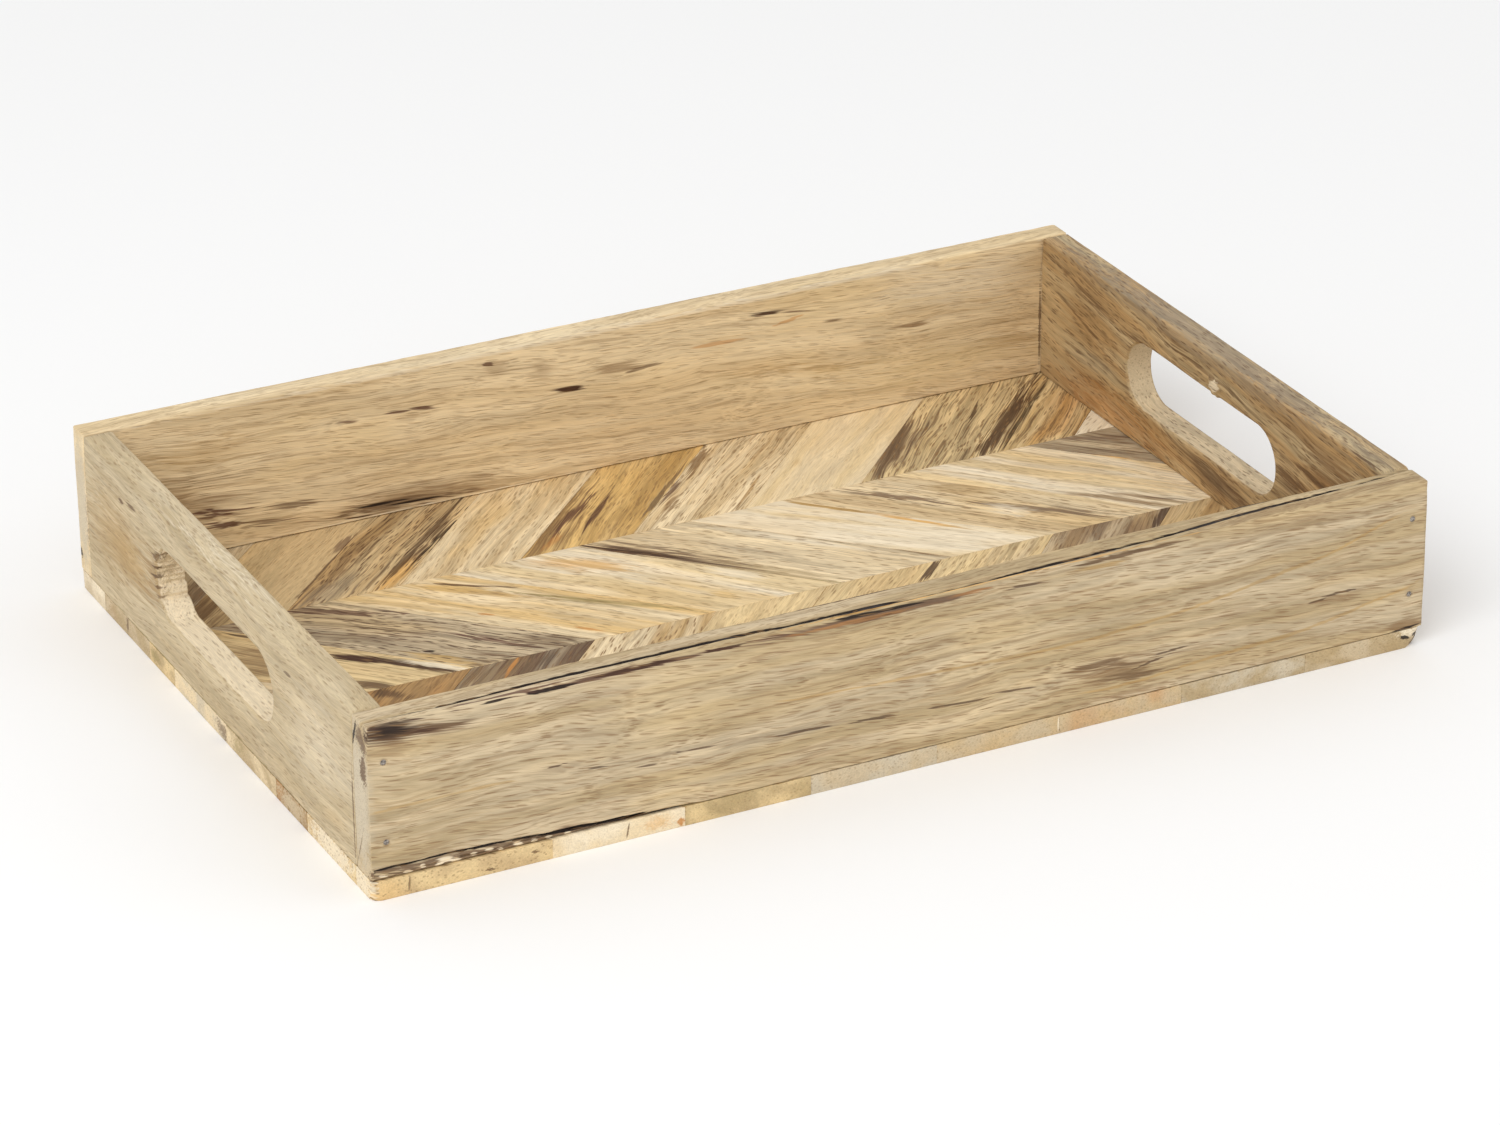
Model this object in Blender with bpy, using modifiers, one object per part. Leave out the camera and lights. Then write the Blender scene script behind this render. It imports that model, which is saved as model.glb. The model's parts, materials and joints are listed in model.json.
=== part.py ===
"""Rectangular wooden serving tray: four butt-jointed walls with two hand holes, on a base of
chevron slats, pinned at the corners with steel brads.

Metres, +Z up. The origin is on the ground under the middle of the tray. X runs along the
length, and the front wall faces -Y.
"""

import math

import bmesh
import bpy
from mathutils import Matrix, Vector

# Overall sizes
LENGTH = 0.406
WIDTH = 0.266
HEIGHT = 0.0645
BASE_THICKNESS = 0.0072

# Boards
FRONT_WALL_THICKNESS = 0.0122
BACK_WALL_THICKNESS = 0.0100
END_WALL_THICKNESS = 0.0110
GLUE_GAP = 0.0003
WALL_EDGE_ROUND = 0.0008

# Hand holes
HOLE_LENGTH = 0.1080
HOLE_HEIGHT = 0.0280
HOLE_CENTRES = {"left_end_wall": (0.0020, 0.0380), "right_end_wall": (0.0040, 0.0357)}
HOLE_EDGE_ROUND = 0.0014
HOLE_END_SEGMENTS = 10
RIM_TOLERANCE = 0.0001

# Brads
BRAD_HEAD_RADIUS = 0.0011
BRAD_HEAD_DEPTH = 0.0008
BRAD_SHANK_RADIUS = 0.0006
BRAD_LENGTH = 0.0240
BRAD_SINK = 0.0002
BRAD_INSET_X = 0.0057
BRAD_HEIGHTS = {"low": 0.0211, "high": 0.0505}
BRAD_BORE_PLAY = 0.0002
BORE_OVERRUN = 0.0010
BRAD_SIDES = 16

# Chevron rows, from the back of the tray to the front: name, depth of the row, lean of its slats
# (+1 runs forward and to the right, -1 forward and to the left), and x of each seam between two
# slats on the row's front edge.
ROWS = (
    (
        "slat_back",
        0.067,
        -1,
        (-0.247, -0.197, -0.150, -0.106, -0.0575, -0.012, 0.034, 0.083, 0.129, 0.175),
    ),
    (
        "slat_mid",
        0.072,
        +1,
        (-0.155, -0.109, -0.062, -0.014, 0.036, 0.083, 0.122, 0.169, 0.226),
    ),
    (
        "slat_near",
        0.072,
        -1,
        (-0.230, -0.182, -0.134, -0.086, -0.041, 0.006, 0.053, 0.103, 0.151),
    ),
    (
        "slat_front",
        0.055,
        +1,
        (-0.1895, -0.138, -0.089, -0.0415, 0.007, 0.055, 0.104, 0.1545, 0.2045),
    ),
)
TINY = 0.000001
SLAT_EDGE_ROUND = 0.00025

# Finishes: colour, roughness, metallic
WALL_FINISHES = {
    "front_wall": ((0.42, 0.30, 0.17), 0.55, 0.0),
    "back_wall": ((0.47, 0.32, 0.17), 0.55, 0.0),
    "left_end_wall": ((0.50, 0.41, 0.26), 0.58, 0.0),
    "right_end_wall": ((0.32, 0.20, 0.10), 0.55, 0.0),
}
SLAT_COLOURS = (
    (0.50, 0.36, 0.19),
    (0.30, 0.20, 0.11),
    (0.56, 0.43, 0.24),
    (0.46, 0.28, 0.10),
    (0.60, 0.47, 0.28),
)
SLAT_ROUGHNESS = 0.5
STEEL = ((0.36, 0.37, 0.40), 0.38, 1.0)


def clear_scene():
    for obj in list(bpy.data.objects):
        bpy.data.objects.remove(obj, do_unlink=True)


def new_collection(name, is_helper=False):
    collection = bpy.data.collections.new(name)
    bpy.context.scene.collection.children.link(collection)
    collection.hide_render = is_helper
    return collection


def new_material(name, colour, roughness, metallic):
    material = bpy.data.materials.new(name)
    material.use_nodes = True
    shader = material.node_tree.nodes["Principled BSDF"]
    shader.inputs["Base Color"].default_value = (*colour, 1.0)
    shader.inputs["Roughness"].default_value = roughness
    shader.inputs["Metallic"].default_value = metallic
    material.diffuse_color = (*colour, 1.0)
    return material


def move_to(obj, collection):
    for current in list(obj.users_collection):
        current.objects.unlink(obj)
    collection.objects.link(obj)


def make_cutter(obj, collection):
    move_to(obj, collection)
    obj.hide_render = True
    obj.display_type = "WIRE"


def add_box(name, low, high):
    """A box between two corners, with its scale applied."""
    low = Vector(low)
    high = Vector(high)
    bpy.ops.mesh.primitive_cube_add(size=1.0, location=(low + high) / 2)
    box = bpy.context.active_object
    box.name = name
    box.scale = high - low
    bpy.ops.object.transform_apply(location=False, rotation=False, scale=True)
    return box


def add_cylinder(name, radius, length, centre):
    """A cylinder along Y."""
    bpy.ops.mesh.primitive_cylinder_add(
        vertices=BRAD_SIDES,
        radius=radius,
        depth=length,
        location=centre,
        rotation=(math.pi / 2, 0.0, 0.0),
    )
    cylinder = bpy.context.active_object
    cylinder.name = name
    return cylinder


def mesh_from_outline(name, outline, thickness, matrix_world):
    """A flat closed outline, extruded by half its thickness to each side, as a welded mesh."""
    curve = bpy.data.curves.new(name + "_outline", "CURVE")
    curve.dimensions = "2D"
    curve.fill_mode = "BOTH"
    curve.extrude = thickness / 2
    spline = curve.splines.new("POLY")
    spline.points.add(len(outline) - 1)
    for point, (x, y) in zip(spline.points, outline):
        point.co = (x, y, 0.0, 1.0)
    spline.use_cyclic_u = True
    curve_object = bpy.data.objects.new(name + "_outline", curve)
    bpy.context.scene.collection.objects.link(curve_object)
    curve_object.matrix_world = matrix_world
    bpy.context.view_layer.update()

    graph = bpy.context.evaluated_depsgraph_get()
    mesh = bpy.data.meshes.new_from_object(curve_object.evaluated_get(graph))
    work = bmesh.new()
    work.from_mesh(mesh)
    bmesh.ops.remove_doubles(work, verts=work.verts, dist=TINY)
    bmesh.ops.recalc_face_normals(work, faces=work.faces)
    work.to_mesh(mesh)
    work.free()

    obj = bpy.data.objects.new(name, mesh)
    bpy.context.scene.collection.objects.link(obj)
    obj.matrix_world = curve_object.matrix_world
    bpy.data.objects.remove(curve_object, do_unlink=True)
    return obj


def cut(target, cutter):
    modifier = target.modifiers.new("cut_" + cutter.name, "BOOLEAN")
    modifier.operation = "DIFFERENCE"
    modifier.solver = "EXACT"
    modifier.object = cutter


def round_edges(obj, width, segments, limit="ANGLE"):
    bevel = obj.modifiers.new("rounded_edges", "BEVEL")
    bevel.width = width
    bevel.segments = segments
    bevel.limit_method = limit
    bevel.angle_limit = math.radians(40)
    return bevel


def apply_modifiers(obj):
    graph = bpy.context.evaluated_depsgraph_get()
    mesh = bpy.data.meshes.new_from_object(obj.evaluated_get(graph))
    obj.modifiers.clear()
    obj.data = mesh


def shade(obj):
    obj.data.shade_smooth()
    obj.data.set_sharp_from_angle(angle=math.radians(30))


# Walls


def slot_outline():
    """The hand hole's outline, with a half circle at each end."""
    radius = HOLE_HEIGHT / 2
    reach = HOLE_LENGTH / 2 - radius
    points = []
    for side in (1, -1):
        for step in range(HOLE_END_SEGMENTS + 1):
            angle = -math.pi / 2 + math.pi * step / HOLE_END_SEGMENTS
            along = reach + radius * math.cos(angle)
            points.append((side * along, side * radius * math.sin(angle)))
    return points


def hole_cutter(wall_name, x, collection):
    """A prism along X in the shape of the hand hole, longer than the wall is thick."""
    outline_x_to_y = Matrix.Rotation(math.pi / 2, 4, "Z")
    outline_y_to_z = Matrix.Rotation(math.pi / 2, 4, "X")
    place = Matrix.Translation((x, *HOLE_CENTRES[wall_name]))
    matrix = place @ outline_x_to_y @ outline_y_to_z
    name = wall_name + "_hand_hole"
    cutter = mesh_from_outline(name, slot_outline(), END_WALL_THICKNESS * 3, matrix)
    make_cutter(cutter, collection)
    return cutter


def brad_places():
    """Each brad's name, x, height, and direction into the tray along Y."""
    for side_name, side in (("front", 1), ("back", -1)):
        for end_name, end in (("left", -1), ("right", 1)):
            for level, height in BRAD_HEIGHTS.items():
                x = end * (LENGTH / 2 - BRAD_INSET_X)
                yield f"brad_{side_name}_{end_name}_{level}", x, height, side


def brad_bores(collection):
    """The bores that the brads' heads and shanks need in the boards."""
    sections = {
        "head": (BRAD_HEAD_RADIUS, BRAD_SINK + BRAD_HEAD_DEPTH + BRAD_BORE_PLAY),
        "shank": (BRAD_SHANK_RADIUS, BRAD_SINK + BRAD_LENGTH + BRAD_BORE_PLAY),
    }
    bores = []
    for name, x, height, side in brad_places():
        face_y = -side * WIDTH / 2
        for section, (radius, depth) in sections.items():
            centre = (x, face_y + side * (depth - BORE_OVERRUN) / 2, height)
            bore_name = f"{name}_{section}_bore"
            bore = add_cylinder(bore_name, radius + BRAD_BORE_PLAY, depth + BORE_OVERRUN, centre)
            make_cutter(bore, collection)
            bores.append(bore)
    return bores


def build_walls(parts, cutters):
    low_z = BASE_THICKNESS + GLUE_GAP
    half_length = LENGTH / 2
    half_width = WIDTH / 2
    inner_front = -half_width + FRONT_WALL_THICKNESS
    inner_back = half_width - BACK_WALL_THICKNESS
    end_low_y = inner_front + GLUE_GAP
    end_high_y = inner_back - GLUE_GAP
    inner_end = half_length - END_WALL_THICKNESS
    boxes = {
        "front_wall": ((-half_length, -half_width, low_z), (half_length, inner_front, HEIGHT)),
        "back_wall": ((-half_length, inner_back, low_z), (half_length, half_width, HEIGHT)),
        "left_end_wall": ((-half_length, end_low_y, low_z), (-inner_end, end_high_y, HEIGHT)),
        "right_end_wall": ((inner_end, end_low_y, low_z), (half_length, end_high_y, HEIGHT)),
    }
    bores = brad_bores(cutters)
    for name, (low, high) in boxes.items():
        wall = add_box(name, low, high)
        move_to(wall, parts)
        round_edges(wall, WALL_EDGE_ROUND, 2)
        if name.endswith("end_wall"):
            side = -1 if name.startswith("left") else 1
            centre_x = side * (half_length - END_WALL_THICKNESS / 2)
            cut(wall, hole_cutter(name, centre_x, cutters))
            apply_modifiers(wall)
            round_hole_edges(wall)
        cut_bores(wall, bores)
        apply_modifiers(wall)
        wall.data.materials.clear()
        wall.data.materials.append(new_material(name + "_wood", *WALL_FINISHES[name]))
        shade(wall)


def round_hole_edges(wall):
    """A larger round on the two rims of the hand hole than on the wall's other edges."""
    weights = wall.data.attributes.new("bevel_weight_edge", "FLOAT", "EDGE")
    radius = HOLE_HEIGHT / 2
    reach = HOLE_LENGTH / 2 - radius
    origin = wall.matrix_world.translation
    hole_y, hole_z = HOLE_CENTRES[wall.name]
    for edge in wall.data.edges:
        ends = [wall.data.vertices[i].co + origin for i in edge.vertices]
        from_rim = []
        for point in ends:
            along = point.y - hole_y
            beyond = along - max(-reach, min(reach, along))
            from_rim.append(abs(math.hypot(beyond, point.z - hole_z) - radius))
        across_wall = abs(ends[0].x - ends[1].x)
        is_rim = max(*from_rim, across_wall) < RIM_TOLERANCE
        weights.data[edge.index].value = 1.0 if is_rim else 0.0
    round_edges(wall, HOLE_EDGE_ROUND, 3, limit="WEIGHT")


def cut_bores(wall, bores):
    """Cuts only the bores that reach into this wall."""
    corners = [wall.matrix_world @ Vector(corner) for corner in wall.bound_box]
    low_x = min(corner.x for corner in corners)
    high_x = max(corner.x for corner in corners)
    low_y = min(corner.y for corner in corners)
    high_y = max(corner.y for corner in corners)
    for bore in bores:
        half_depth = bore.dimensions.z / 2
        place = bore.location
        beside = low_x < place.x < high_x
        reached = place.y + half_depth > low_y and place.y - half_depth < high_y
        if beside and reached:
            cut(wall, bore)


# Base


def clip(outline, normal, offset):
    """The part of a convex outline where normal . point <= offset."""
    kept = []
    for index, point in enumerate(outline):
        before = outline[index - 1]
        here = point.dot(normal) - offset
        there = before.dot(normal) - offset
        if here * there < 0:
            kept.append(before.lerp(point, there / (there - here)))
        if here <= 0:
            kept.append(point)
    return kept


def row_piece(left, right, back_y, front_y, lean):
    """The outline between two seams that cross the row's front edge at left and right."""
    shift = -lean * (back_y - front_y)
    corners = [
        Vector((left, front_y)),
        Vector((right, front_y)),
        Vector((right + shift, back_y)),
        Vector((left + shift, back_y)),
    ]
    outline = clip(corners, Vector((1.0, 0.0)), LENGTH / 2)
    return clip(outline, Vector((-1.0, 0.0)), LENGTH / 2)


def slat_outlines(back_y, front_y, lean, seams):
    """The outlines of a row's slats, from left to right, cut to the tray's footprint."""
    limits = (-2 * LENGTH, *seams, 2 * LENGTH)
    return [row_piece(left, right, back_y, front_y, lean) for left, right in zip(limits, limits[1:])]


def shrink_from_neighbours(outline):
    """Moves each side in by half the glue gap, except the sides on the tray's own outline."""
    shrunk = outline
    for index, end in enumerate(outline):
        start = outline[index - 1]
        side = end - start
        if side.length < TINY:
            continue
        outward = Vector((side.y, -side.x)).normalized()
        middle = (start + end) / 2
        from_tray_edge = min(LENGTH / 2 - abs(middle.x), WIDTH / 2 - abs(middle.y))
        if from_tray_edge > TINY:
            shrunk = clip(shrunk, outward, start.dot(outward) - GLUE_GAP / 2)
    return shrunk


def build_base(parts):
    finishes = []
    for index, colour in enumerate(SLAT_COLOURS):
        finishes.append(new_material(f"slat_wood_{index + 1}", colour, SLAT_ROUGHNESS, 0.0))
    back_y = WIDTH / 2
    for row, (name, depth, lean, seams) in enumerate(ROWS):
        front_y = back_y - depth
        outlines = slat_outlines(back_y, front_y, lean, seams)
        for index, outline in enumerate(outlines):
            outline = shrink_from_neighbours(outline)
            centre = sum(outline, Vector((0.0, 0.0))) / len(outline)
            slat_name = f"{name}_{index + 1:02d}"
            place = Matrix.Translation((centre.x, centre.y, BASE_THICKNESS / 2))
            local = [point - centre for point in outline]
            slat = mesh_from_outline(slat_name, local, BASE_THICKNESS, place)
            move_to(slat, parts)
            slat.data.materials.clear()
            slat.data.materials.append(finishes[(index * 2 + row) % len(finishes)])
            round_edges(slat, SLAT_EDGE_ROUND, 1)
        back_y = front_y


# Brads


def build_brads(parts):
    """Each brad is a turned shape: a flat head, a straight shank and a short point."""
    steel = new_material("brad_steel", *STEEL)
    point_length = BRAD_SHANK_RADIUS * 2
    profile = (
        (0.0, 0.0),
        (BRAD_HEAD_RADIUS, 0.0),
        (BRAD_HEAD_RADIUS, -BRAD_HEAD_DEPTH),
        (BRAD_SHANK_RADIUS, -BRAD_HEAD_DEPTH),
        (BRAD_SHANK_RADIUS, -BRAD_LENGTH + point_length),
        (0.0, -BRAD_LENGTH),
    )
    for name, x, height, side in brad_places():
        mesh = bpy.data.meshes.new(name)
        edges = [(i, i + 1) for i in range(len(profile) - 1)]
        mesh.from_pydata([(radius, 0.0, z) for radius, z in profile], edges, [])
        brad = bpy.data.objects.new(name, mesh)
        parts.objects.link(brad)
        screw = brad.modifiers.new("turned", "SCREW")
        screw.angle = 2 * math.pi
        screw.steps = BRAD_SIDES
        screw.render_steps = BRAD_SIDES
        screw.use_merge_vertices = True
        screw.merge_threshold = 0.00001
        brad.location = (x, -side * (WIDTH / 2 - BRAD_SINK), height)
        brad.rotation_euler = (side * math.pi / 2, 0.0, 0.0)
        mesh.materials.append(steel)
        bpy.context.view_layer.update()
        apply_modifiers(brad)
        shade(brad)


def main():
    clear_scene()
    parts = new_collection("serving_tray")
    cutters = new_collection("cutters", is_helper=True)
    build_walls(parts, cutters)
    build_base(parts)
    build_brads(parts)


main()
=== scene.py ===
# A wooden serving tray: four boards with two hand holes, on a base of chevron slats.
# Everything is in metres, except the marks on the wood, which are in millimetres.
import itertools
import json
import math

import bmesh
import bpy
import numpy as np
from mathutils import Euler, Matrix, Vector
from mathutils.geometry import convex_hull_2d


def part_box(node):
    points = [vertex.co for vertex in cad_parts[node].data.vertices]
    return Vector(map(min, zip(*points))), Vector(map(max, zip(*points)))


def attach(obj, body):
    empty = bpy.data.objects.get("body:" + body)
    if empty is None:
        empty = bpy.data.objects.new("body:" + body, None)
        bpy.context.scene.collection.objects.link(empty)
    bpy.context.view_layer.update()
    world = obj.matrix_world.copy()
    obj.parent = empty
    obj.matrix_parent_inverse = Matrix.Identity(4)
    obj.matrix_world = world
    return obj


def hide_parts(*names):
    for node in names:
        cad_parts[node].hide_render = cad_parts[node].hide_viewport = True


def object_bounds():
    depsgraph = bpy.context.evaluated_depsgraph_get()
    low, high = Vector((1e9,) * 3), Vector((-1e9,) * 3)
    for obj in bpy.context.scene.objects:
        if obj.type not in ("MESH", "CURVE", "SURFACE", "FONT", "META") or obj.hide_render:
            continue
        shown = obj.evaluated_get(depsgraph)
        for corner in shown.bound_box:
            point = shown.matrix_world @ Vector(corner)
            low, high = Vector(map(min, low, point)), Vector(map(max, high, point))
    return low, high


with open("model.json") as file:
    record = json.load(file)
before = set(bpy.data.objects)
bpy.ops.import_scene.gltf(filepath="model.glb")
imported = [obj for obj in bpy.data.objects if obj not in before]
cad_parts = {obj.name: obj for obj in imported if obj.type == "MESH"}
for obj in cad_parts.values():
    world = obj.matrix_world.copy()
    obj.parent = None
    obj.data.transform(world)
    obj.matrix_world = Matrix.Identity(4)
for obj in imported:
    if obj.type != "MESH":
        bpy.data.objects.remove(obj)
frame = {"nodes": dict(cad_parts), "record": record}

CAD_LOW, CAD_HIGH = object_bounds()
MM = 0.001

# The camera looks along the line from its place to its aim, with a slight roll.
CAMERA_PLACE = (-0.81822, -1.63566, 0.90913)
CAMERA_AIM = (-0.00617, -0.01778, 0.03)
CAMERA_ROLL = -0.00778
CAMERA_LENS = 135.9
SENSOR_WIDTH = 36.0

# Studio
FLOOR_SIZE = 12.0
FLOOR_COLOUR = (0.97, 0.97, 0.968)
WORLD_STRENGTH = 0.76
LIGHTS = (
    # name, place, size, power
    ("key", (-1.5, -1.1, 2.0), 1.6, 26.0),
    ("fill", (1.7, -1.4, 1.3), 1.8, 5.0),
)

HOLE_LENGTH, HOLE_HEIGHT = 0.1070, 0.0270
HALF_GLUE_GAP, HALF_SEAM = 0.00015, 0.00004  # half the gap between neighbouring slats, in CAD and here

# The radius of worn edges: a board's at the top, at a butt joint and low down, a hole's, and a slat's
TOP_ARRIS, BUTT_ARRIS, LOW_ARRIS = 0.0008, 0.0002, 0.0003
HOLE_ARRIS, HOLE_BACK_ARRIS = 0.0013, 0.0005  # on a board's -X face and on its +X face
SLAT_ARRIS = 0.00018
CORNER_WEAR = (  # the base's corners that are knocked off
    # the corner's side in X and in Y, and its radius at the bottom and at the top
    (-1, -1, 0.0042, 0.0016), (1, -1, 0.0088, 0.0030), (-1, 1, 0.0022, 0.0015), (1, 1, 0.0018, 0.0012),
)

# Relief: ribs of fibres and slow waves on the boards, waves on the slats and steps between them
RIB_HEIGHT, WAVE_HEIGHT = 0.00004, 0.00012
SLAT_WAVES, SLAT_STEP = (0.00005, 0.00002), 0.00006
DENT_DEPTH, DENT_RADIUS, DENT_FLOOR = 0.0004, 0.0019, 0.0009  # round a brad; the radii of rim and floor
BRAD_SINK = 0.00012  # how far a brad's head lies below the board's face
CRACK_DEPTH, WANE_DEPTH, WANE_ROUGHNESS = 0.0010, 0.0011, 0.0006  # the front board's bark faults

# The mesh of a long board: its steps along X, Y and Z, then (reach, step) where it is finer
LONG_STEPS = (0.0013, 0.00042, 0.0007)
LONG_EDGE, BRAD_EDGE_X, BRAD_EDGE_Z = (0.0012, 0.00028), (0.003, 0.0005), (0.002, 0.0005)
# The mesh of an end board: its steps along X, then its rings round the hole
END_STEP, END_EDGE = 0.0014, (0.0014, 0.0003)
RIM_RINGS = (0, 0.15, 0.32, 0.5, 0.7, 0.9, 1.15)  # from the hole's outline, in HOLE_ARRIS
FIELD_RINGS = 42
EDGE_RINGS = (0.0016, 0.0011, 0.0008, 0.0005, 0.00025, 0.0)  # from the board's edge
# A slat's cuts, each (step, reach): along its grain and across it, and in a worn slat also along Z
GRAIN_CUTS, CROSS_CUTS = (0.006, 0.08), (0.0025, 0.08)
WORN_CUTS, WORN_LEVEL_CUTS = (0.0011, 0.08), (0.001, 0.003)
SHORT_SIDE = 0.0012  # an outline's side below this is only a rounded corner


def srgb(red, green, blue):
    """A colour from 0-255 values as a shader takes it."""
    values = [v / 255 for v in (red, green, blue)]
    linear = [v / 12.92 if v < 0.04045 else ((v + 0.055) / 1.055) ** 2.4 for v in values]
    return (*linear, 1.0)


IVORY = srgb(244, 228, 198)
CREAM = srgb(238, 216, 176)
STRAW = srgb(231, 204, 153)
GOLD = srgb(222, 184, 118)
TAN = srgb(210, 182, 136)
SAND = srgb(206, 186, 152)
KHAKI = srgb(184, 160, 118)
OLIVE = srgb(160, 140, 88)
GREY = srgb(160, 142, 116)
HAZEL = srgb(172, 136, 88)
BROWN = srgb(140, 106, 68)
UMBER = srgb(104, 76, 50)
PLUM = srgb(92, 58, 46)
ORANGE = srgb(206, 142, 74)
AMBER = srgb(226, 176, 104)
HONEY = srgb(186, 148, 88)
STONE = srgb(208, 194, 168)
WHEAT = srgb(209, 190, 154)
DUN = srgb(189, 168, 130)
ASH = srgb(130, 106, 82)
WALNUT = srgb(70, 42, 26)
BLACK = srgb(32, 19, 12)


# ---------------------------------------------------------------- mesh helpers


def noise(points, cell, seed=0):
    """Smooth noise from -1 to 1 at each point, with cells of the given size along X, Y and Z."""
    scaled = points / np.asarray(cell) + 1000.0
    corner = np.floor(scaled).astype(np.int64)
    blend = scaled - corner
    blend = blend * blend * (3 - 2 * blend)
    total = np.zeros(len(points))
    for step in itertools.product((0, 1), repeat=3):
        at = corner + step
        mixed = at[:, 0] * 374761393 + at[:, 1] * 668265263 + at[:, 2] * 1274126177 + seed * 69069
        mixed = ((mixed ^ (mixed >> 13)) * 1103515245) & 0xFFFFFFFF
        mixed = (mixed ^ (mixed >> 16)) & 0xFFFF
        weight = np.prod(np.where(step, blend, 1 - blend), axis=1)
        total += mixed / 0x7FFF * weight
    return total - 1


def ramp(value, start, end):
    """A smooth step from 0 at start to 1 at end."""
    t = np.clip((value - start) / (end - start), 0, 1)
    return t * t * (3 - 2 * t)


def places(low, high, step, finer=()):
    """Places from low to high about a step apart, and closer near each (centre, reach, step)."""
    found = [low]
    while found[-1] < high:
        here = found[-1]
        near = [fine for centre, reach, fine in finer if abs(here - centre) < reach]
        found.append(here + min(near, default=step))
    found = np.array(found)
    return low + (found - low) * (high - low) / (found[-1] - low)


def box_skin(xs, ys, zs):
    """The points and the quads of a box's skin, split at the given places."""
    skin = np.ones((len(xs), len(ys), len(zs)), bool)
    skin[1:-1, 1:-1, 1:-1] = False
    index = np.full(skin.shape, -1)
    index[skin] = np.arange(skin.sum())
    points = np.stack(np.meshgrid(xs, ys, zs, indexing="ij"), -1)[skin]
    quads = []
    for axis, side in itertools.product(range(3), (0, -1)):
        sheet = np.take(index, side, axis)
        corners = (sheet[:-1, :-1], sheet[1:, :-1], sheet[1:, 1:], sheet[:-1, 1:])
        quad = np.stack(corners, -1).reshape(-1, 4)
        faces_out = (side == -1) != (axis == 1)
        quads.append(quad if faces_out else quad[:, ::-1])
    return points, np.concatenate(quads)


def round_box(points, low, high, radius):
    """Points on a box's skin, moved in so that its edges are round."""
    core = np.clip(points, low + radius, high - radius)
    away = points - core
    length = np.linalg.norm(away, axis=1, keepdims=True)
    return core + away * (radius / np.maximum(length, 1e-9))


def add_object(name, data):
    obj = bpy.data.objects.new(name, data)
    bpy.context.scene.collection.objects.link(obj)
    return obj


def mesh_object(name, points, faces):
    mesh = bpy.data.meshes.new(name)
    mesh.from_pydata(points.tolist(), [], faces.tolist())
    mesh.update()
    mesh.shade_smooth()
    return add_object(name, mesh)


def bmesh_object(name, mesh):
    """An object made of a bmesh, which is freed."""
    data = bpy.data.meshes.new(name)
    mesh.to_mesh(data)
    mesh.free()
    return add_object(name, data)


def smooth_below(data, degrees):
    """Smooth shading over the edges that bend by less than that angle."""
    data.shade_smooth()
    data.set_sharp_from_angle(angle=math.radians(degrees))


def vectors(items, name):
    found = np.empty(len(items) * 3)
    items.foreach_get(name, found)
    return found.reshape(-1, 3)


def move_points(mesh, points):
    mesh.vertices.foreach_set("co", points.ravel())
    mesh.update()


def displace(obj, height):
    """Moves each vertex along its normal by height(points)."""
    mesh = obj.data
    points = vectors(mesh.vertices, "co")
    move_points(mesh, points + vectors(mesh.vertex_normals, "vector") * height(points)[:, None])


def finish_piece(obj, node, material):
    obj.data.materials.append(material)
    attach(obj, "root")
    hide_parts(node)


# ---------------------------------------------------------------- material helpers


class Graph:
    """A material's nodes. Each method adds one and returns its output."""

    def __init__(self, name):
        self.material = bpy.data.materials.new(name)
        self.material.use_nodes = True
        self.tree = self.material.node_tree
        self.shader = self.tree.nodes["Principled BSDF"]

    def add(self, kind, inputs, output=0, **settings):
        node = self.tree.nodes.new("ShaderNode" + kind)
        for key, value in settings.items():
            setattr(node, key, value)
        for key, value in inputs.items():
            self.join(value, node.inputs[key])
        return node.outputs[output]

    def join(self, value, socket):
        if isinstance(value, bpy.types.NodeSocket):
            self.tree.links.new(value, socket)
        else:
            socket.default_value = value

    def math(self, operation, *values):
        return self.add("Math", dict(enumerate(values)), operation=operation)

    def ramp(self, value, start, end, low=0.0, high=1.0):
        inputs = {0: value, 1: start, 2: end, 3: low, 4: high}
        return self.add("MapRange", inputs, interpolation_type="SMOOTHSTEP")

    def scaled(self, vector, by):
        return self.add("VectorMath", {0: vector, 1: by}, operation="MULTIPLY")

    def length(self, vector):
        return self.add("VectorMath", {0: vector}, "Value", operation="LENGTH")

    def position(self):
        """The place in the piece's own frame, in millimetres."""
        return self.scaled(self.add("TexCoord", {}, "Object"), (1000.0, 1000.0, 1000.0))

    def surface(self, inputs):
        for name, value in inputs.items():
            self.join(value, self.shader.inputs[name])

    def framed(self, vector, origin, turn, size):
        """The vector in a frame with that origin, turn and unit size along each of its axes."""
        inputs = {"Vector": vector, "Location": origin, "Rotation": turn, "Scale": size}
        return self.add("Mapping", inputs, vector_type="TEXTURE")

    def noise(self, vector, cell, detail=2.0, output="Fac"):
        scaled = self.scaled(vector, [1 / size for size in cell])
        return self.add("TexNoise", {"Vector": scaled, "Scale": 1.0, "Detail": detail}, output)

    def cells(self, vector, cell):
        """The distance to the nearest of points scattered one to a cell, in cells."""
        scaled = self.scaled(vector, [1 / size for size in cell])
        return self.add("TexVoronoi", {"Vector": scaled, "Scale": 1.0}, "Distance")

    def mix(self, factor, first, second, blend="MIX"):
        inputs = {0: factor, 6: first, 7: second}
        return self.add("Mix", inputs, 2, data_type="RGBA", blend_type=blend)


def face_frame(face, a, b, turn=0.0):
    """The origin and the turn of a frame on a face: a and b are x and y on a level face, x and z on a
    front or back one, and -y and z on an end."""
    kind, depth = face
    if kind == "level":
        return (a, b, depth), (0.0, 0.0, turn)
    if kind == "long":
        return (a, depth, b), (math.pi / 2, -turn, 0.0)
    return (depth, -a, b), (math.pi / 2, -turn, -math.pi / 2)


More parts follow.
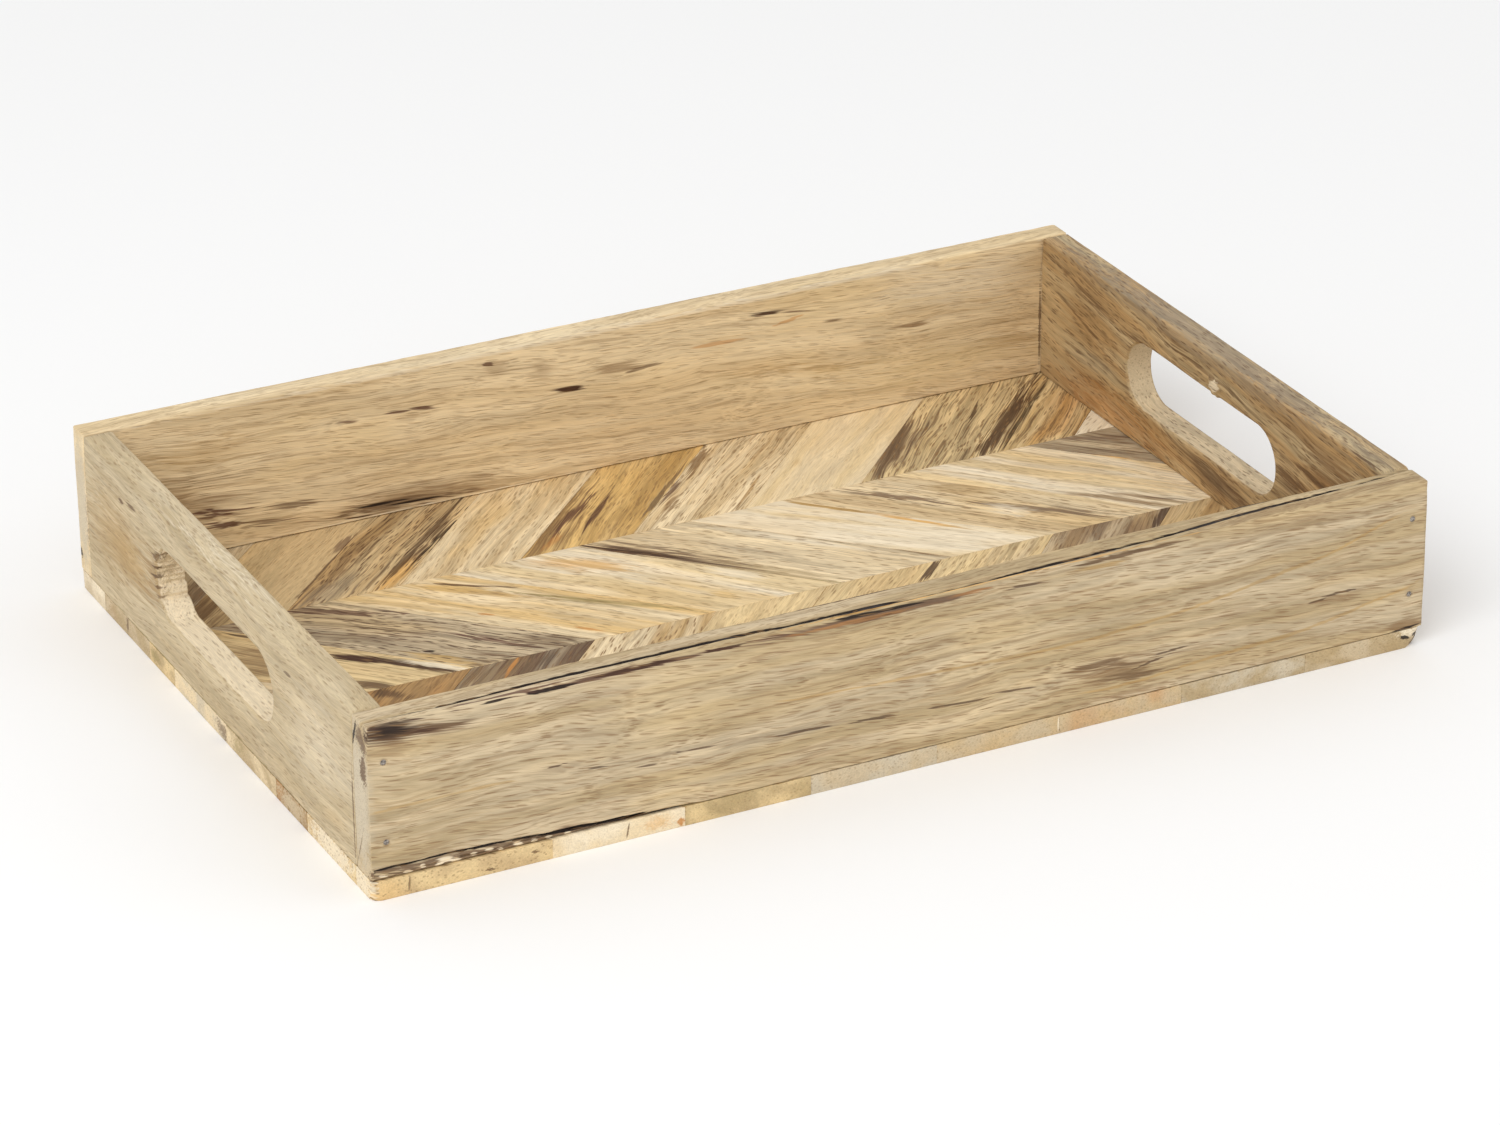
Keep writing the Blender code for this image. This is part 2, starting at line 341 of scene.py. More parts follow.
def streak(face, a0, b0, a1, b1, width, tone, strength=0.8, soft=0.6, rag=1.0, sink=0.0, deep=4.0):
    """A stain along a line, width across; a few of these are painted highlight and painted shade instead.
    strength is the tone's share, soft the blur of its rim, rag how ragged that is, sink how far it is
    grooved, and deep its reach into the wood."""
    length = math.hypot(a1 - a0, b1 - b0)
    origin, turn = face_frame(face, (a0 + a1) / 2, (b0 + b1) / 2, math.atan2(b1 - b0, a1 - a0))
    size = (max(length / 2, width / 2), width / 2, deep)

    def reach(graph, place):
        return graph.length(graph.framed(place, origin, turn, size))

    return reach, tone, strength, soft, rag, sink


def hole_tone(face, a, b, length, height, tone, strength):
    """A stain on the sides of a hole through a board, and not on the board's faces."""
    origin, turn = face_frame(face, a, b)

    def reach(graph, place):
        local = graph.framed(place, origin, turn, (length / 2, height / 2, 30.0))
        away = graph.length(local)
        normal = graph.scaled(graph.add("TexCoord", {}, "Normal"), (1.0, 0.0, 0.0))
        return graph.math("ADD", away, graph.length(normal))

    return reach, tone, strength, 0.4, 0.5, 0.0


def trace(face, points, width, tone, strength=0.8, soft=0.6, rag=1.0, sink=0.0, deep=3.0):
    """A line of even width through points with growing a."""
    start, end = points[0][0], points[-1][0]
    low = min(b for _, b in points)
    high = max(b for _, b in points) + 0.01

    def reach(graph, place):
        origin, turn = face_frame(face, (start + end) / 2, 0.0)
        local = graph.framed(place, origin, turn, (1.0, 1.0, 1.0))
        parts = graph.tree.nodes.new("ShaderNodeSeparateXYZ")
        graph.join(local, parts.inputs[0])
        half = (end - start) / 2
        share = graph.add("MapRange", {0: parts.outputs[0], 1: -half, 2: half})
        curve = graph.tree.nodes.new("ShaderNodeFloatCurve")
        graph.join(share, curve.inputs["Value"])
        knots = curve.mapping.curves[0].points
        for a, b in points[1:-1]:
            knots.new((a - start) / (end - start), (b - low) / (high - low))
        knots[0].location = (0.0, (points[0][1] - low) / (high - low))
        knots[-1].location = (1.0, (points[-1][1] - low) / (high - low))
        curve.mapping.update()
        line = graph.add("MapRange", {0: curve.outputs[0], 3: low, 4: high})
        off = graph.math("DIVIDE", graph.math("SUBTRACT", parts.outputs[1], line), width / 2)
        past = graph.math("POWER", graph.math("ABSOLUTE", graph.math("DIVIDE", parts.outputs[0], half)), 9.0)
        depth = graph.math("DIVIDE", parts.outputs[2], deep)
        local = graph.add("CombineXYZ", {0: past, 1: off, 2: depth})
        return graph.length(local)

    return reach, tone, strength, soft, rag, sink


WOOD = {
    "light": STRAW,
    "dark": TAN,
    "warm": GOLD,
    "band": 0.8,  # how strongly the broad bands show
    "band_size": (130.0, 9.0, 9.0),
    "cloud": 0.25,  # how much of the warm tone lies in soft clouds
    "streaks": 0.3,  # the contrast of the long streaks
    "lines": 0.4,  # how dark the thin long lines are
    "line_tone": BROWN,
    "line_size": (46.0, 1.1, 1.1),
    "fibre": 0.16,
    "pores": 0.5,
    "pore_size": (8.0, 1.15, 1.15),  # the spacing of the pores, each a short dash
    "pore_turn": (0.0, 0.0, 0.0),
    "pore_tone": BROWN,
}


def wood(name, grain_turn, seed, marks=(), **changes):
    """Bands, streaks, thin lines, fibres and pores that run along the grain, then the plank's own marks."""
    style = {**WOOD, **changes}
    graph = Graph(name)
    place = graph.position()
    along = graph.framed(place, (seed * 37.0, seed * 11.3, seed * 5.7), grain_turn, (1.0, 1.0, 1.0))
    sway = graph.noise(along, (60.0, 26.0, 26.0), 2.0, "Color")
    sway = graph.add("VectorMath", {0: sway, 1: (0.5, 0.5, 0.5)}, operation="SUBTRACT")
    along = graph.add("VectorMath", {0: sway, 1: (0.0, 9.0, 9.0), 2: along}, operation="MULTIPLY_ADD")
    slanted = graph.framed(along, (0.0, 0.0, 0.0), style["pore_turn"], (1.0, 1.0, 1.0))
    bands = graph.noise(along, style["band_size"], 3.0)
    cloud = graph.noise(along, (60.0, 22.0, 22.0), 2.0)
    streaks = graph.noise(along, (70.0, 2.6, 2.6), 3.0)
    lines = graph.noise(along, style["line_size"], 2.0)
    hairs = graph.noise(slanted, (26.0, 0.6, 0.6), 1.0)
    fibre = graph.noise(slanted, (9.0, 0.45, 0.45), 2.0)
    pores = graph.cells(slanted, style["pore_size"])
    grain = Euler(grain_turn).to_matrix() @ Vector((1, 0, 0))
    normal = graph.add("TexCoord", {}, "Normal")
    facing = graph.add("VectorMath", {0: normal, 1: grain}, "Value", operation="DOT_PRODUCT")
    with_grain = graph.ramp(graph.math("ABSOLUTE", facing), 0.45, 0.66, 1.0, 0.2)

    colour = graph.mix(graph.ramp(bands, 0.38, 0.62, 0.0, style["band"]), style["light"], style["dark"])
    colour = graph.mix(graph.ramp(cloud, 0.48, 0.7, 0.0, style["cloud"]), colour, style["warm"])
    thin = graph.math("MAXIMUM", graph.ramp(lines, 0.53, 0.68), graph.ramp(hairs, 0.53, 0.68, 0.0, 0.75))
    thin = graph.math("MULTIPLY", thin, with_grain)
    colour = graph.mix(graph.math("MULTIPLY", thin, style["lines"]), colour, style["line_tone"])
    sunk = graph.math("MULTIPLY", thin, 0.35)
    edge = graph.math("ADD", graph.math("ADD", streaks, hairs), -1.0)
    for reach, tone, strength, soft, rag, sink in marks:
        inside = graph.math("MULTIPLY_ADD", reach(graph, place), -1.5, 1.5)
        inside = graph.math("MULTIPLY_ADD", edge, rag * 2.0, inside)
        mask = graph.ramp(inside, 0.0, soft, 0.0, strength)
        colour = graph.mix(mask, colour, tone)
        if sink:
            sunk = graph.math("MULTIPLY_ADD", mask, sink, sunk)
    hole = graph.math("MULTIPLY", graph.ramp(pores, 0.36, 0.17), graph.math("MAXIMUM", with_grain, 0.55))
    broad, fine = style["streaks"] / 2, style["fibre"] / 2
    value = graph.ramp(streaks, 0.3, 0.7, broad, -broad)
    value = graph.math("MULTIPLY_ADD", value, with_grain, 1.0)
    value = graph.math("MULTIPLY", value, graph.ramp(fibre, 0.3, 0.7, 1 - fine, 1 + fine))
    shade = graph.add("CombineColor", {0: value, 1: value, 2: value})
    colour = graph.mix(1.0, colour, shade, "MULTIPLY")
    colour = graph.mix(graph.math("MULTIPLY", hole, style["pores"]), colour, style["pore_tone"])

    roughness = graph.ramp(fibre, 0.3, 0.7, 0.66, 0.52)
    height = graph.math("MULTIPLY_ADD", hole, -0.6, graph.math("MULTIPLY", fibre, 0.5))
    height = graph.math("SUBTRACT", height, sunk)
    bump = graph.add("Bump", {"Height": height, "Strength": 0.6, "Distance": 0.00025})
    graph.surface({"Base Color": colour, "Roughness": roughness, "Specular IOR Level": 0.3, "Normal": bump})
    return graph.material


def steel():
    graph = Graph("brad_steel")
    place = graph.position()
    dull = graph.noise(place, (0.5, 0.5, 0.5), 3.0)
    colour = graph.mix(graph.ramp(dull, 0.35, 0.65), srgb(110, 104, 98), srgb(176, 168, 160))
    roughness = graph.ramp(dull, 0.3, 0.7, 0.5, 0.3)
    bump = graph.add("Bump", {"Height": dull, "Strength": 0.4, "Distance": 0.0001})
    graph.surface({"Base Color": colour, "Roughness": roughness, "Metallic": 1.0, "Normal": bump})
    return graph.material


# ---------------------------------------------------------------- boards

GRAIN_X = (0.0, 0.0, 0.0)
GRAIN_Y = (0.0, 0.0, math.pi / 2)


def box_of(node):
    low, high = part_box(node)
    return np.array(low), np.array(high)


def grain_relief(axis, seed):
    """The fine ribs of sanded fibres along an axis, and the slow waves under them."""

    def height(points):
        fine = np.full(3, 0.0011)
        fine[axis] = 0.022
        slow = np.full(3, 0.016)
        slow[axis] = 0.09
        return RIB_HEIGHT * noise(points, fine, seed) + WAVE_HEIGHT * noise(points, slow, seed + 1)

    return height


BRADS = [name for name in frame["nodes"] if name.startswith("brad_")]


def brad_places(side):
    """(x, z) of the brads whose heads show on the front or the back board."""
    found = []
    for name in BRADS:
        if side in name:
            low, high = box_of(name)
            middle = (low + high) / 2
            found.append((middle[0], middle[2]))
    return found


def line_at(points, a):
    """The height of a line through points, at each a."""
    return np.interp(a, [p[0] * MM for p in points], [p[1] * MM for p in points])


# The bark crack along the front board's top edge (x, y), and the wane along its lower left (x, z)
BARK_CRACK = (
    (-203, -128.5), (-165, -129.5), (-140, -128.8), (-100, -129), (-60, -129.5), (-50, -130.5),
    (-20, -130.3), (0, -131.3), (50, -130.5), (100, -129), (130, -126.5), (160, -125),
    (190, -123), (203, -121.5),
)
WANE = ((-203, 11.6), (-170, 11.3), (-140, 9.9), (-110, 8.8), (-84, 7.3), (-75, 6.0))


def long_board(side):
    """The front or the back board, with worn edges, a dent at each brad and, in front, its bark faults."""
    node = side + "_wall"
    low, high = box_of(node)
    brads = brad_places(side)
    near_brads = ([(x, *BRAD_EDGE_X) for x, _ in brads], [], [(z, *BRAD_EDGE_Z) for _, z in brads])
    splits = []
    for start, end, step, finer in zip(low, high, LONG_STEPS, near_brads):
        splits.append(places(start, end, step, [(start, *LONG_EDGE), (end, *LONG_EDGE), *finer]))
    points, quads = box_skin(*splits)
    top = ramp(points[:, 2], high[2] - 0.01, high[2] - 0.002)
    wear = 1 + 0.45 * noise(points, (0.012, 0.01, 0.01), 3) + 0.25 * noise(points, (0.0035, 0.01, 0.01), 4)
    radius = (LOW_ARRIS + (TOP_ARRIS - LOW_ARRIS) * top) * wear
    points = round_box(points, low, high, radius[:, None])
    board = mesh_object(node + "_wood", points, quads)
    displace(board, grain_relief(0, 11 if side == "front" else 17))
    outer = low[1] if side == "front" else high[1]

    def dents(points):
        depth = np.zeros(len(points))
        for x, z in brads:
            away = np.hypot(points[:, 0] - x, points[:, 2] - z)
            near = np.abs(points[:, 1] - outer) < 0.002
            depth -= DENT_DEPTH * ramp(away, DENT_RADIUS, DENT_FLOOR) * near
        return depth

    displace(board, dents)
    if side == "front":
        displace(board, bark_faults(low, high))
    return board


def bark_faults(low, high):
    def height(points):
        x, y, z = points.T
        rough = noise(points, (0.005, 0.0008, 0.0008), 21)
        broken = ramp(noise(points, (0.018, 1.0, 1.0), 22), -0.9, -0.3)
        on_top = ramp(z, high[2] - 0.002, high[2] - 0.001)
        crack = np.abs(y - line_at(BARK_CRACK, x) - 0.00025 * rough)
        depth = CRACK_DEPTH * ramp(crack, 0.0008, 0.0001) * on_top * broken
        in_front = ramp(y, low[1] + 0.001, low[1] + 0.0004)
        under = line_at(WANE, x) + 0.0004 * rough - z
        left = ramp(x, -0.076, -0.088)
        bark = WANE_DEPTH + WANE_ROUGHNESS * rough
        depth += in_front * left * ramp(under, -0.0002, 0.0003) * bark
        depth += in_front * left * CRACK_DEPTH * ramp(np.abs(under), 0.0007, 0.0001)
        return -depth

    return height


def hole_outline(low, high, centre, length, height, straight=80, turn=110):
    """Points round a hand hole, their outward directions, and the points of the board's edge that
    they face, which go round it at an even pace between the corners."""
    radius = height / 2
    reach = length / 2 - radius
    hole, out, edge = [], [], []
    for side in (1, -1):
        for i in range(straight):
            y = centre[0] + side * reach * (1 - 2 * i / straight)
            hole.append((y, centre[1] + side * radius))
            out.append((0.0, side))
            edge.append((y, high[2] if side > 0 else low[2]))
        end = low[1] if side > 0 else high[1]
        start = centre[0] - side * reach
        levels = (high[2], low[2]) if side > 0 else (low[2], high[2])
        path = [(start, levels[0]), (end, levels[0]), (end, levels[1]), (start, levels[1])]
        along = (0, 0.37, 0.63, 1)
        for i in range(turn):
            angle = math.pi / 2 * side + math.pi * i / turn
            hole.append((start + radius * math.cos(angle), centre[1] + radius * math.sin(angle)))
            out.append((math.cos(angle), math.sin(angle)))
            edge.append([np.interp(i / turn, along, [p[k] for p in path]) for k in (0, 1)])
    return np.array(hole), np.array(out), np.array(edge)


def end_board(side):
    """An end board: a closed sheet wrapped round the hand hole and over the board's edges."""
    node = side + "_end_wall"
    low, high = box_of(node)
    opening = next(o for o in frame["record"]["physics"]["openings"] if o["name"] == side + "_hand_hole")
    (_, y0, z0), (_, y1, z1) = opening["box_m"]
    centre = ((y0 + y1) / 2, (z0 + z1) / 2)
    hole, out, edge = hole_outline(low, high, centre, HOLE_LENGTH, HOLE_HEIGHT)
    torn = torn_grain(hole, centre, side)
    hole = hole + out * torn[:, None]
    rim = [HOLE_ARRIS * f for f in RIM_RINGS]
    middle = (low[1:] + high[1:]) / 2
    half = (high[1:] - low[1:]) / 2
    rings = [hole + out * d for d in rim]
    near, far = rings[-1], middle + (edge - middle) * (half - EDGE_RINGS[0]) / half
    rings += [near + (far - near) * f for f in np.linspace(0, 1, FIELD_RINGS)[1:]]
    rings += [middle + (edge - middle) * (half - d) / half for d in EDGE_RINGS[1:]]
    distance = rim + [1.0] * (len(rings) - len(rim))  # from the hole; 1.0 stands for well away
    depths = places(low[0], high[0], END_STEP, [(low[0], *END_EDGE), (high[0], *END_EDGE)])
    loop = [(ring, distance[i], low[0]) for i, ring in enumerate(rings)]
    loop += [(rings[-1], 1.0, x) for x in depths[1:-1]]
    loop += [(ring, distance[-1 - i], high[0]) for i, ring in enumerate(reversed(rings))]
    loop += [(rings[0], 0.0, x) for x in depths[-2:0:-1]]

    points = np.array([np.column_stack([np.full(len(ring), x), ring]) for ring, _, x in loop])
    offset = np.repeat([d for _, d, _ in loop], len(hole))
    outward = np.tile(out, (len(loop), 1))
    points = points.reshape(-1, 3)
    wear = 1 + 0.3 * noise(points, (0.01, 0.014, 0.01), 5)
    round_hole(points, offset, outward, low[0], 1, HOLE_ARRIS * (0.75 + 0.25 * wear))
    round_hole(points, offset, outward, high[0], -1, HOLE_BACK_ARRIS * wear)
    top = ramp(points[:, 2], high[2] - 0.01, high[2] - 0.002)
    radius = (BUTT_ARRIS + (TOP_ARRIS * 1.3 - BUTT_ARRIS) * top) * wear
    points = round_box(points, low, high, radius[:, None])

    across = len(hole)
    index = np.arange(len(points)).reshape(len(loop), across)
    after = np.roll(index, -1, axis=0)
    quads = np.stack([index, after, np.roll(after, -1, axis=1), np.roll(index, -1, axis=1)], -1)
    board = mesh_object(node + "_wood", points, quads.reshape(-1, 4))
    displace(board, grain_relief(1, 23 if side == "left" else 29))
    displace(board, torn_face(low[0], side))
    return board


def torn_face(face, side):
    """The fibres torn from the face beside the left hole, and the chip above the right one."""

    def depth(points):
        x, y, z = points.T
        near = np.abs(x - face) < 0.004
        if side == "left":
            around = np.hypot((y - 0.0545) / 0.012, (z - 0.039) / 0.0155)
            ribs = noise(points, (1.0, 0.006, 0.0009), 51) - 0.25
            return near * ramp(around, 1.0, 0.45) * 0.00045 * ribs
        around = np.hypot((y + 0.0065) / 0.0048, (z - 0.0525) / 0.0042)
        ragged = around + 0.35 * noise(points, (1.0, 0.0016, 0.0012), 52)
        return near * ramp(ragged, 1.0, 0.55) * -0.0006

    return depth


def torn_grain(hole, centre, side):
    """How far the hand hole's outline is out of true: fibres torn out at the far end of the left one."""
    points = np.column_stack([np.zeros(len(hole)), hole])
    out = 0.0003 * noise(points, (1.0, 0.03, 0.02), 31)
    if side == "left":
        far = ramp(hole[:, 0], centre[0] + 0.038, centre[0] + 0.047)
        out += far * (0.0011 * noise(points, (1.0, 0.004, 0.0011), 32) - 0.0002)
    return out


def round_hole(points, offset, outward, face, inward, radius):
    """Rounds the hole's rim on one face, in place: offset is the distance from its outline."""
    depth = (points[:, 0] - face) * inward
    a, b = radius - offset, radius - depth
    corner = (a > 0) & (b > 0)
    length = np.hypot(a, b)
    scale = np.where(corner, radius / np.maximum(length, 1e-9), 1.0)
    points[:, 1:] += outward * (a - a * scale)[:, None]
    points[:, 0] += inward * (b - b * scale)


# ---------------------------------------------------------------- slats


def slat_outline(node):
    """A slat's sharp-cornered outline, grown to leave a hairline to its neighbours."""
    flat = [Vector(v.co[:2]) for v in frame["nodes"][node].data.vertices]
    ring = [flat[i] for i in convex_hull_2d(flat)]
    sides = []
    for start, end in zip(ring, ring[1:] + ring[:1]):
        run = end - start
        if run.length > SHORT_SIDE:
            out = Vector((run.y, -run.x)).normalized() * (HALF_GLUE_GAP - HALF_SEAM)
            sides.append((start + out, end + out))
    corners = []
    for first, second in zip(sides, sides[1:] + sides[:1]):
        corner = crossing(first, second)
        limits = zip(corner, CAD_LOW, CAD_HIGH)
        corners.append([min(max(value, low), high) for value, low, high in limits])
    return corners


def crossing(first, second):
    """Where two lines, each given by two points, cross."""
    (p, q), (r, s) = first, second
    along, other = q - p, s - r
    bottom = along.cross(other)
    return p + along * ((r - p).cross(other) / bottom)


def slat(node, lean, seed):
    """A slat with softened edges, its top cut into a grid along the grain and faintly uneven."""
    low, high = box_of(node)
    outline = slat_outline(node)
    mesh = bmesh.new()
    base = mesh.faces.new([mesh.verts.new((x, y, low[2])) for x, y in outline])
    raised = bmesh.ops.extrude_face_region(mesh, geom=[base])["geom"]
    moved = [v for v in raised if isinstance(v, bmesh.types.BMVert)]
    bmesh.ops.translate(mesh, verts=moved, vec=(0, 0, high[2] - low[2]))
    bmesh.ops.recalc_face_normals(mesh, faces=mesh.faces)
    bmesh.ops.bevel(mesh, geom=mesh.edges[:], offset=SLAT_ARRIS, segments=2, profile=0.5, affect="EDGES")
    worn = any("slat_front" in node and end in node for end in ("_01", "_10"))
    grain = Vector((1, -lean, 0)).normalized()
    across = Vector((lean, 1, 0)).normalized()
    middle = Vector((low + high) / 2)
    cuts = [(grain, *GRAIN_CUTS), (across, *CROSS_CUTS)]
    if worn:
        cuts = [(grain, *WORN_CUTS), (across, *WORN_CUTS), (Vector((0, 0, 1)), *WORN_LEVEL_CUTS)]
    for direction, step, reach in cuts:
        count = int(reach / step)
        for i in range(-count, count + 1):
            geom = mesh.verts[:] + mesh.edges[:] + mesh.faces[:]
            at = middle + direction * (i * step)
            bmesh.ops.bisect_plane(mesh, geom=geom, dist=1e-6, plane_co=at, plane_no=direction)
    obj = bmesh_object(node + "_wood", mesh)
    shape_slat(obj.data, seed, lean, low[2], high[2])
    smooth_below(obj.data, 50)
    return obj


def shape_slat(data, seed, lean, bottom, top):
    """Makes a slat's top uneven and knocks off the base's corners."""
    points = vectors(data.vertices, "co")
    turned = points @ np.array([[1, lean, 0], [-lean, 1, 0], [0, 0, math.sqrt(2)]]) / math.sqrt(2)
    step = SLAT_STEP * math.sin(seed * 2.4)
    waves = SLAT_WAVES[0] * noise(turned, (0.03, 0.005, 1.0), seed)
    waves = waves + SLAT_WAVES[1] * noise(turned, (0.014, 0.0026, 1.0), seed)
    points[:, 2] += ramp(points[:, 2], top - 0.002, top) * (step + waves)
    rise = np.clip((points[:, 2] - bottom) / (top - bottom), 0, 1) ** 0.7
    for x_side, y_side, below, above in CORNER_WEAR:
        corner = np.array([CAD_HIGH[0] * x_side, CAD_HIGH[1] * y_side])
        side = np.array([x_side, y_side])
        radius = below + (above - below) * rise
        rough = radius * (1 + 0.12 * noise(points, (0.002, 0.002, 0.0015), 41))
        away = (points[:, :2] - corner) * side + rough[:, None]
        length = np.linalg.norm(away, axis=1)
        outside = (away > 0).all(axis=1) & (length > rough)
        pull = np.where(outside, rough / np.maximum(length, 1e-9), 1.0)
        points[:, :2] += side * away * (pull - 1)[:, None]
    move_points(data, points)


def brad(node):
    """A brad: a domed head with a worn rim on a round shank that ends in a point."""
    low, high = box_of(node)
    middle = (low + high) / 2
    length = high[1] - low[1]
    head = (high[0] - low[0]) / 2
    outward = -1 if middle[1] < 0 else 1
    face = low[1] if outward < 0 else high[1]
    shank = head * 0.52
    # (radius, depth) over the domed head, round its rim and down the shank
    profile = [(0.0, -0.00016), (head * 0.45, -0.00013), (head * 0.85, -0.00002), (head, 0.0001)]
    profile += [(head, 0.0006), (head * 0.9, 0.0008), (shank, 0.0011)]
    profile += [(shank, length - 0.002), (shank * 0.5, length - 0.0008), (0.0, length)]
    mesh = bmesh.new()
    verts = [mesh.verts.new((r, -(d + BRAD_SINK) * outward, 0.0)) for r, d in profile]
    edges = [mesh.edges.new(pair) for pair in zip(verts, verts[1:])]
    bmesh.ops.spin(mesh, geom=verts + edges, cent=(0, 0, 0), axis=(0, 1, 0), angle=2 * math.pi, steps=28)
    bmesh.ops.remove_doubles(mesh, verts=mesh.verts, dist=1e-6)
    bmesh.ops.recalc_face_normals(mesh, faces=mesh.faces)
    bmesh.ops.translate(mesh, verts=mesh.verts, vec=(middle[0], face, middle[2]))
    obj = bmesh_object(node + "_steel", mesh)
    smooth_below(obj.data, 40)
    return obj


# ---------------------------------------------------------------- marks on the wood

FRONT = ("long", CAD_LOW[1] / MM)
BACK_IN = ("long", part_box("back_wall")[0][1] / MM)
LEFT_OUT = ("end", CAD_LOW[0] / MM)
RIGHT_IN = ("end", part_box("right_end_wall")[0][0] / MM)
TOP = ("level", CAD_HIGH[2] / MM)
FLOOR = ("level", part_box("slat_mid_05")[1][2] / MM)


def streaks(face, *rows):
    """Stains on one face, with a few painted highlights and shades: each row is what streak takes after the
    face, from a0 on.
    """
    return [streak(face, *row) for row in rows]


def dashes(face, spots, width, tone, strength, **more):
    """Short marks, each (a0, b0, a1, b1)."""
    return [streak(face, *spot, width, tone, strength, **more) for spot in spots]


# The front board: its end grain on the left
FRONT_MARKS = streaks(
    LEFT_OUT, (125.5, 4, 125.5, 68, 19, STONE, 0.9, 0.8, 0.5), (124, 62, 132, 54, 9, UMBER, 0.8, 0.8, 1.2),
    (128.5, 53, 129, 40, 6, UMBER, 0.85, 0.8, 1.2), (124.5, 64, 120.5, 52, 1.6, BLACK, 0.9, 0.5, 0.8, 0.8),
    (121, 9, 128, 26, 0.9, UMBER, 0.6, 0.5),
)
# the outer face
FRONT_MARKS += streaks(
    FRONT, (-210, 61.8, -178, 59.6, 11.5, WALNUT, 0.95, 0.9, 0.7),
    (-203, 62, -183, 60.4, 7, BLACK, 0.85, 0.9, 0.8), (-196, 59.4, -160, 57, 5.2, UMBER, 0.9, 0.9),
    (-190, 59.4, -174, 57.8, 2.4, WALNUT, 0.8, 0.9), (-203, 58, -184, 52, 13, BROWN, 0.35, 1.3),
    (-178, 63.4, -52, 63.2, 1.9, PLUM, 0.85, 0.6, 1.8),
    (-166, 63.6, -150, 63.3, 1.8, BLACK, 0.95, 0.5, 1.2),
    (-149, 63.3, -129, 63, 1.9, BLACK, 0.95, 0.6, 1.2),
    (-122, 63.4, -92, 63.3, 1.5, WALNUT, 0.9, 0.5, 1.2),
    (-84, 63.2, -62, 63.2, 1.6, WALNUT, 0.9, 0.5, 1.2), (-75, 62.7, 28, 62.5, 3.2, PLUM, 0.75, 0.8, 1.3),
    (-54, 62, -6, 61.8, 1.5, ORANGE, 0.4, 0.9, 1.4), (12, 62.6, 28, 62.4, 1.4, ORANGE, 0.4, 0.9, 1.4),
    (-38, 63.6, 4, 63.4, 1.6, BLACK, 0.95), (32, 60.6, 50, 60.2, 1.4, WALNUT),
    (56, 63.4, 104, 63, 1.6, UMBER, 0.85, 0.6, 1.3), (60, 61.4, 82, 60.6, 2, HONEY, 0.6, 0.8),
    (100, 61, 196, 59, 9, BROWN, 0.3, 1.2, 1.6), (-212, 36, -146, 33, 46, KHAKI, 0.45, 1.4),
    (-152, 34, -112, 32, 6, GREY, 0.6, 1), (-100, 29, -30, 25, 5, GREY, 0.5, 1, 1.3),
    (52, 22.5, 100, 17.5, 15, BROWN, 0.6, 1.3, 1.7), (58, 25, 84, 21.5, 5, UMBER, 0.55, 1, 1.8),
    (70, 17, 96, 14.5, 4, UMBER, 0.55, 1, 1.8), (60, 9.5, 104, 9, 4, BROWN, 0.45, 1, 1.6),
    (150, 27, 180, 26.5, 4.5, BROWN, 0.5, 1, 1.6),
)
FRONT_MARKS += [
    trace(FRONT, ((-60, 38.8), (-20, 36.4), (20, 34.8), (60, 33.6), (90, 35.2), (110, 36.8), (140, 41.4),
                  (160, 44.2), (180, 50), (190, 53), (201, 54.6)), 1.6, HONEY, 0.55, 0.9),
    trace(FRONT, ((60, 14.4), (75, 12.8), (90, 13.2), (110, 14.8), (150, 17), (165, 18.8), (180, 21.6),
                  (195, 24), (202, 26.6)), 1.5, HONEY, 0.55, 0.9),
    trace(FRONT, ((-203, 33), (-175, 33.2), (-150, 32.4)), 1.4, HONEY, 0.45, 0.9),
]
# the wane at the lower left: bark, a black line painted as the shadow under the board's lip, and pale chips
FRONT_MARKS += streaks(FRONT, (-222, 8.6, -84, 6.4, 7.4, ASH, 0.95, 0.5, 0.9))
# a black line painted as shadow in the groove under the lip
FRONT_MARKS += [trace(FRONT, [(x, z - 0.5) for x, z in WANE], 1.4, BLACK, 1.0, 0.5, 0.6, 1.0)]
# the top edge
FRONT_MARKS += streaks(TOP, (96, -130.5, 206, -128, 7, BROWN, 0.45, 0.8, 1.2))
FRONT_MARKS += [trace(TOP, BARK_CRACK, 1.8, BLACK, 1.0, 0.5, 0.6, 1.0)]
FRONT_MARKS += streaks(
    TOP, (-32, -131.2, -1, -131.2, 3.2, BLACK, 1, 0.5), (-60, -132.2, 110, -132, 1, AMBER, 0.7, 0.6, 1.2),
    (-80, -121.4, 44, -121.1, 1.5, WALNUT, 0.85), (127, -121, 154, -121, 1.7, BLACK, 0.9),
    (-176, -132.2, -124, -132.2, 1.7, PLUM, 0.85),
)
# the split at the lower right
FRONT_MARKS += streaks(FRONT, (186, 9.5, 207, 9, 5, BROWN, 0.7, 1), (186, 7.3, 206, 8.6, 1.3, BLACK, 0.95))
FRONT_MARKS += dashes(
    FRONT,
    ((-126, 30.6, -117, 29.8), (-91, 28.4, -75, 27.4), (-108, 26.6, -98, 26), (-56, 25.6, -35, 24.8),
     (-26, 23.8, -8, 22.8), (4, 21.8, 26, 20.8), (29, 21.8, 46, 20.6), (84, 18, 98, 20.4),
     (90, 21.4, 108, 22.2), (154, 27, 164, 28), (160, 28.6, 176, 28.6), (-142, 34, -130, 34.6)),
    1.05, WALNUT, 0.75, rag=1.3,
)
FRONT_MARKS += dashes(
    FRONT,
    ((-181, 8.0, -176, 8.2), (-180, 9.2, -172, 9.0), (-176, 8.1, -170, 8.0), (-153, 8.7, -147.5, 8.3)),
    2.1, IVORY, 0.95, rag=0.9, soft=0.5,
)
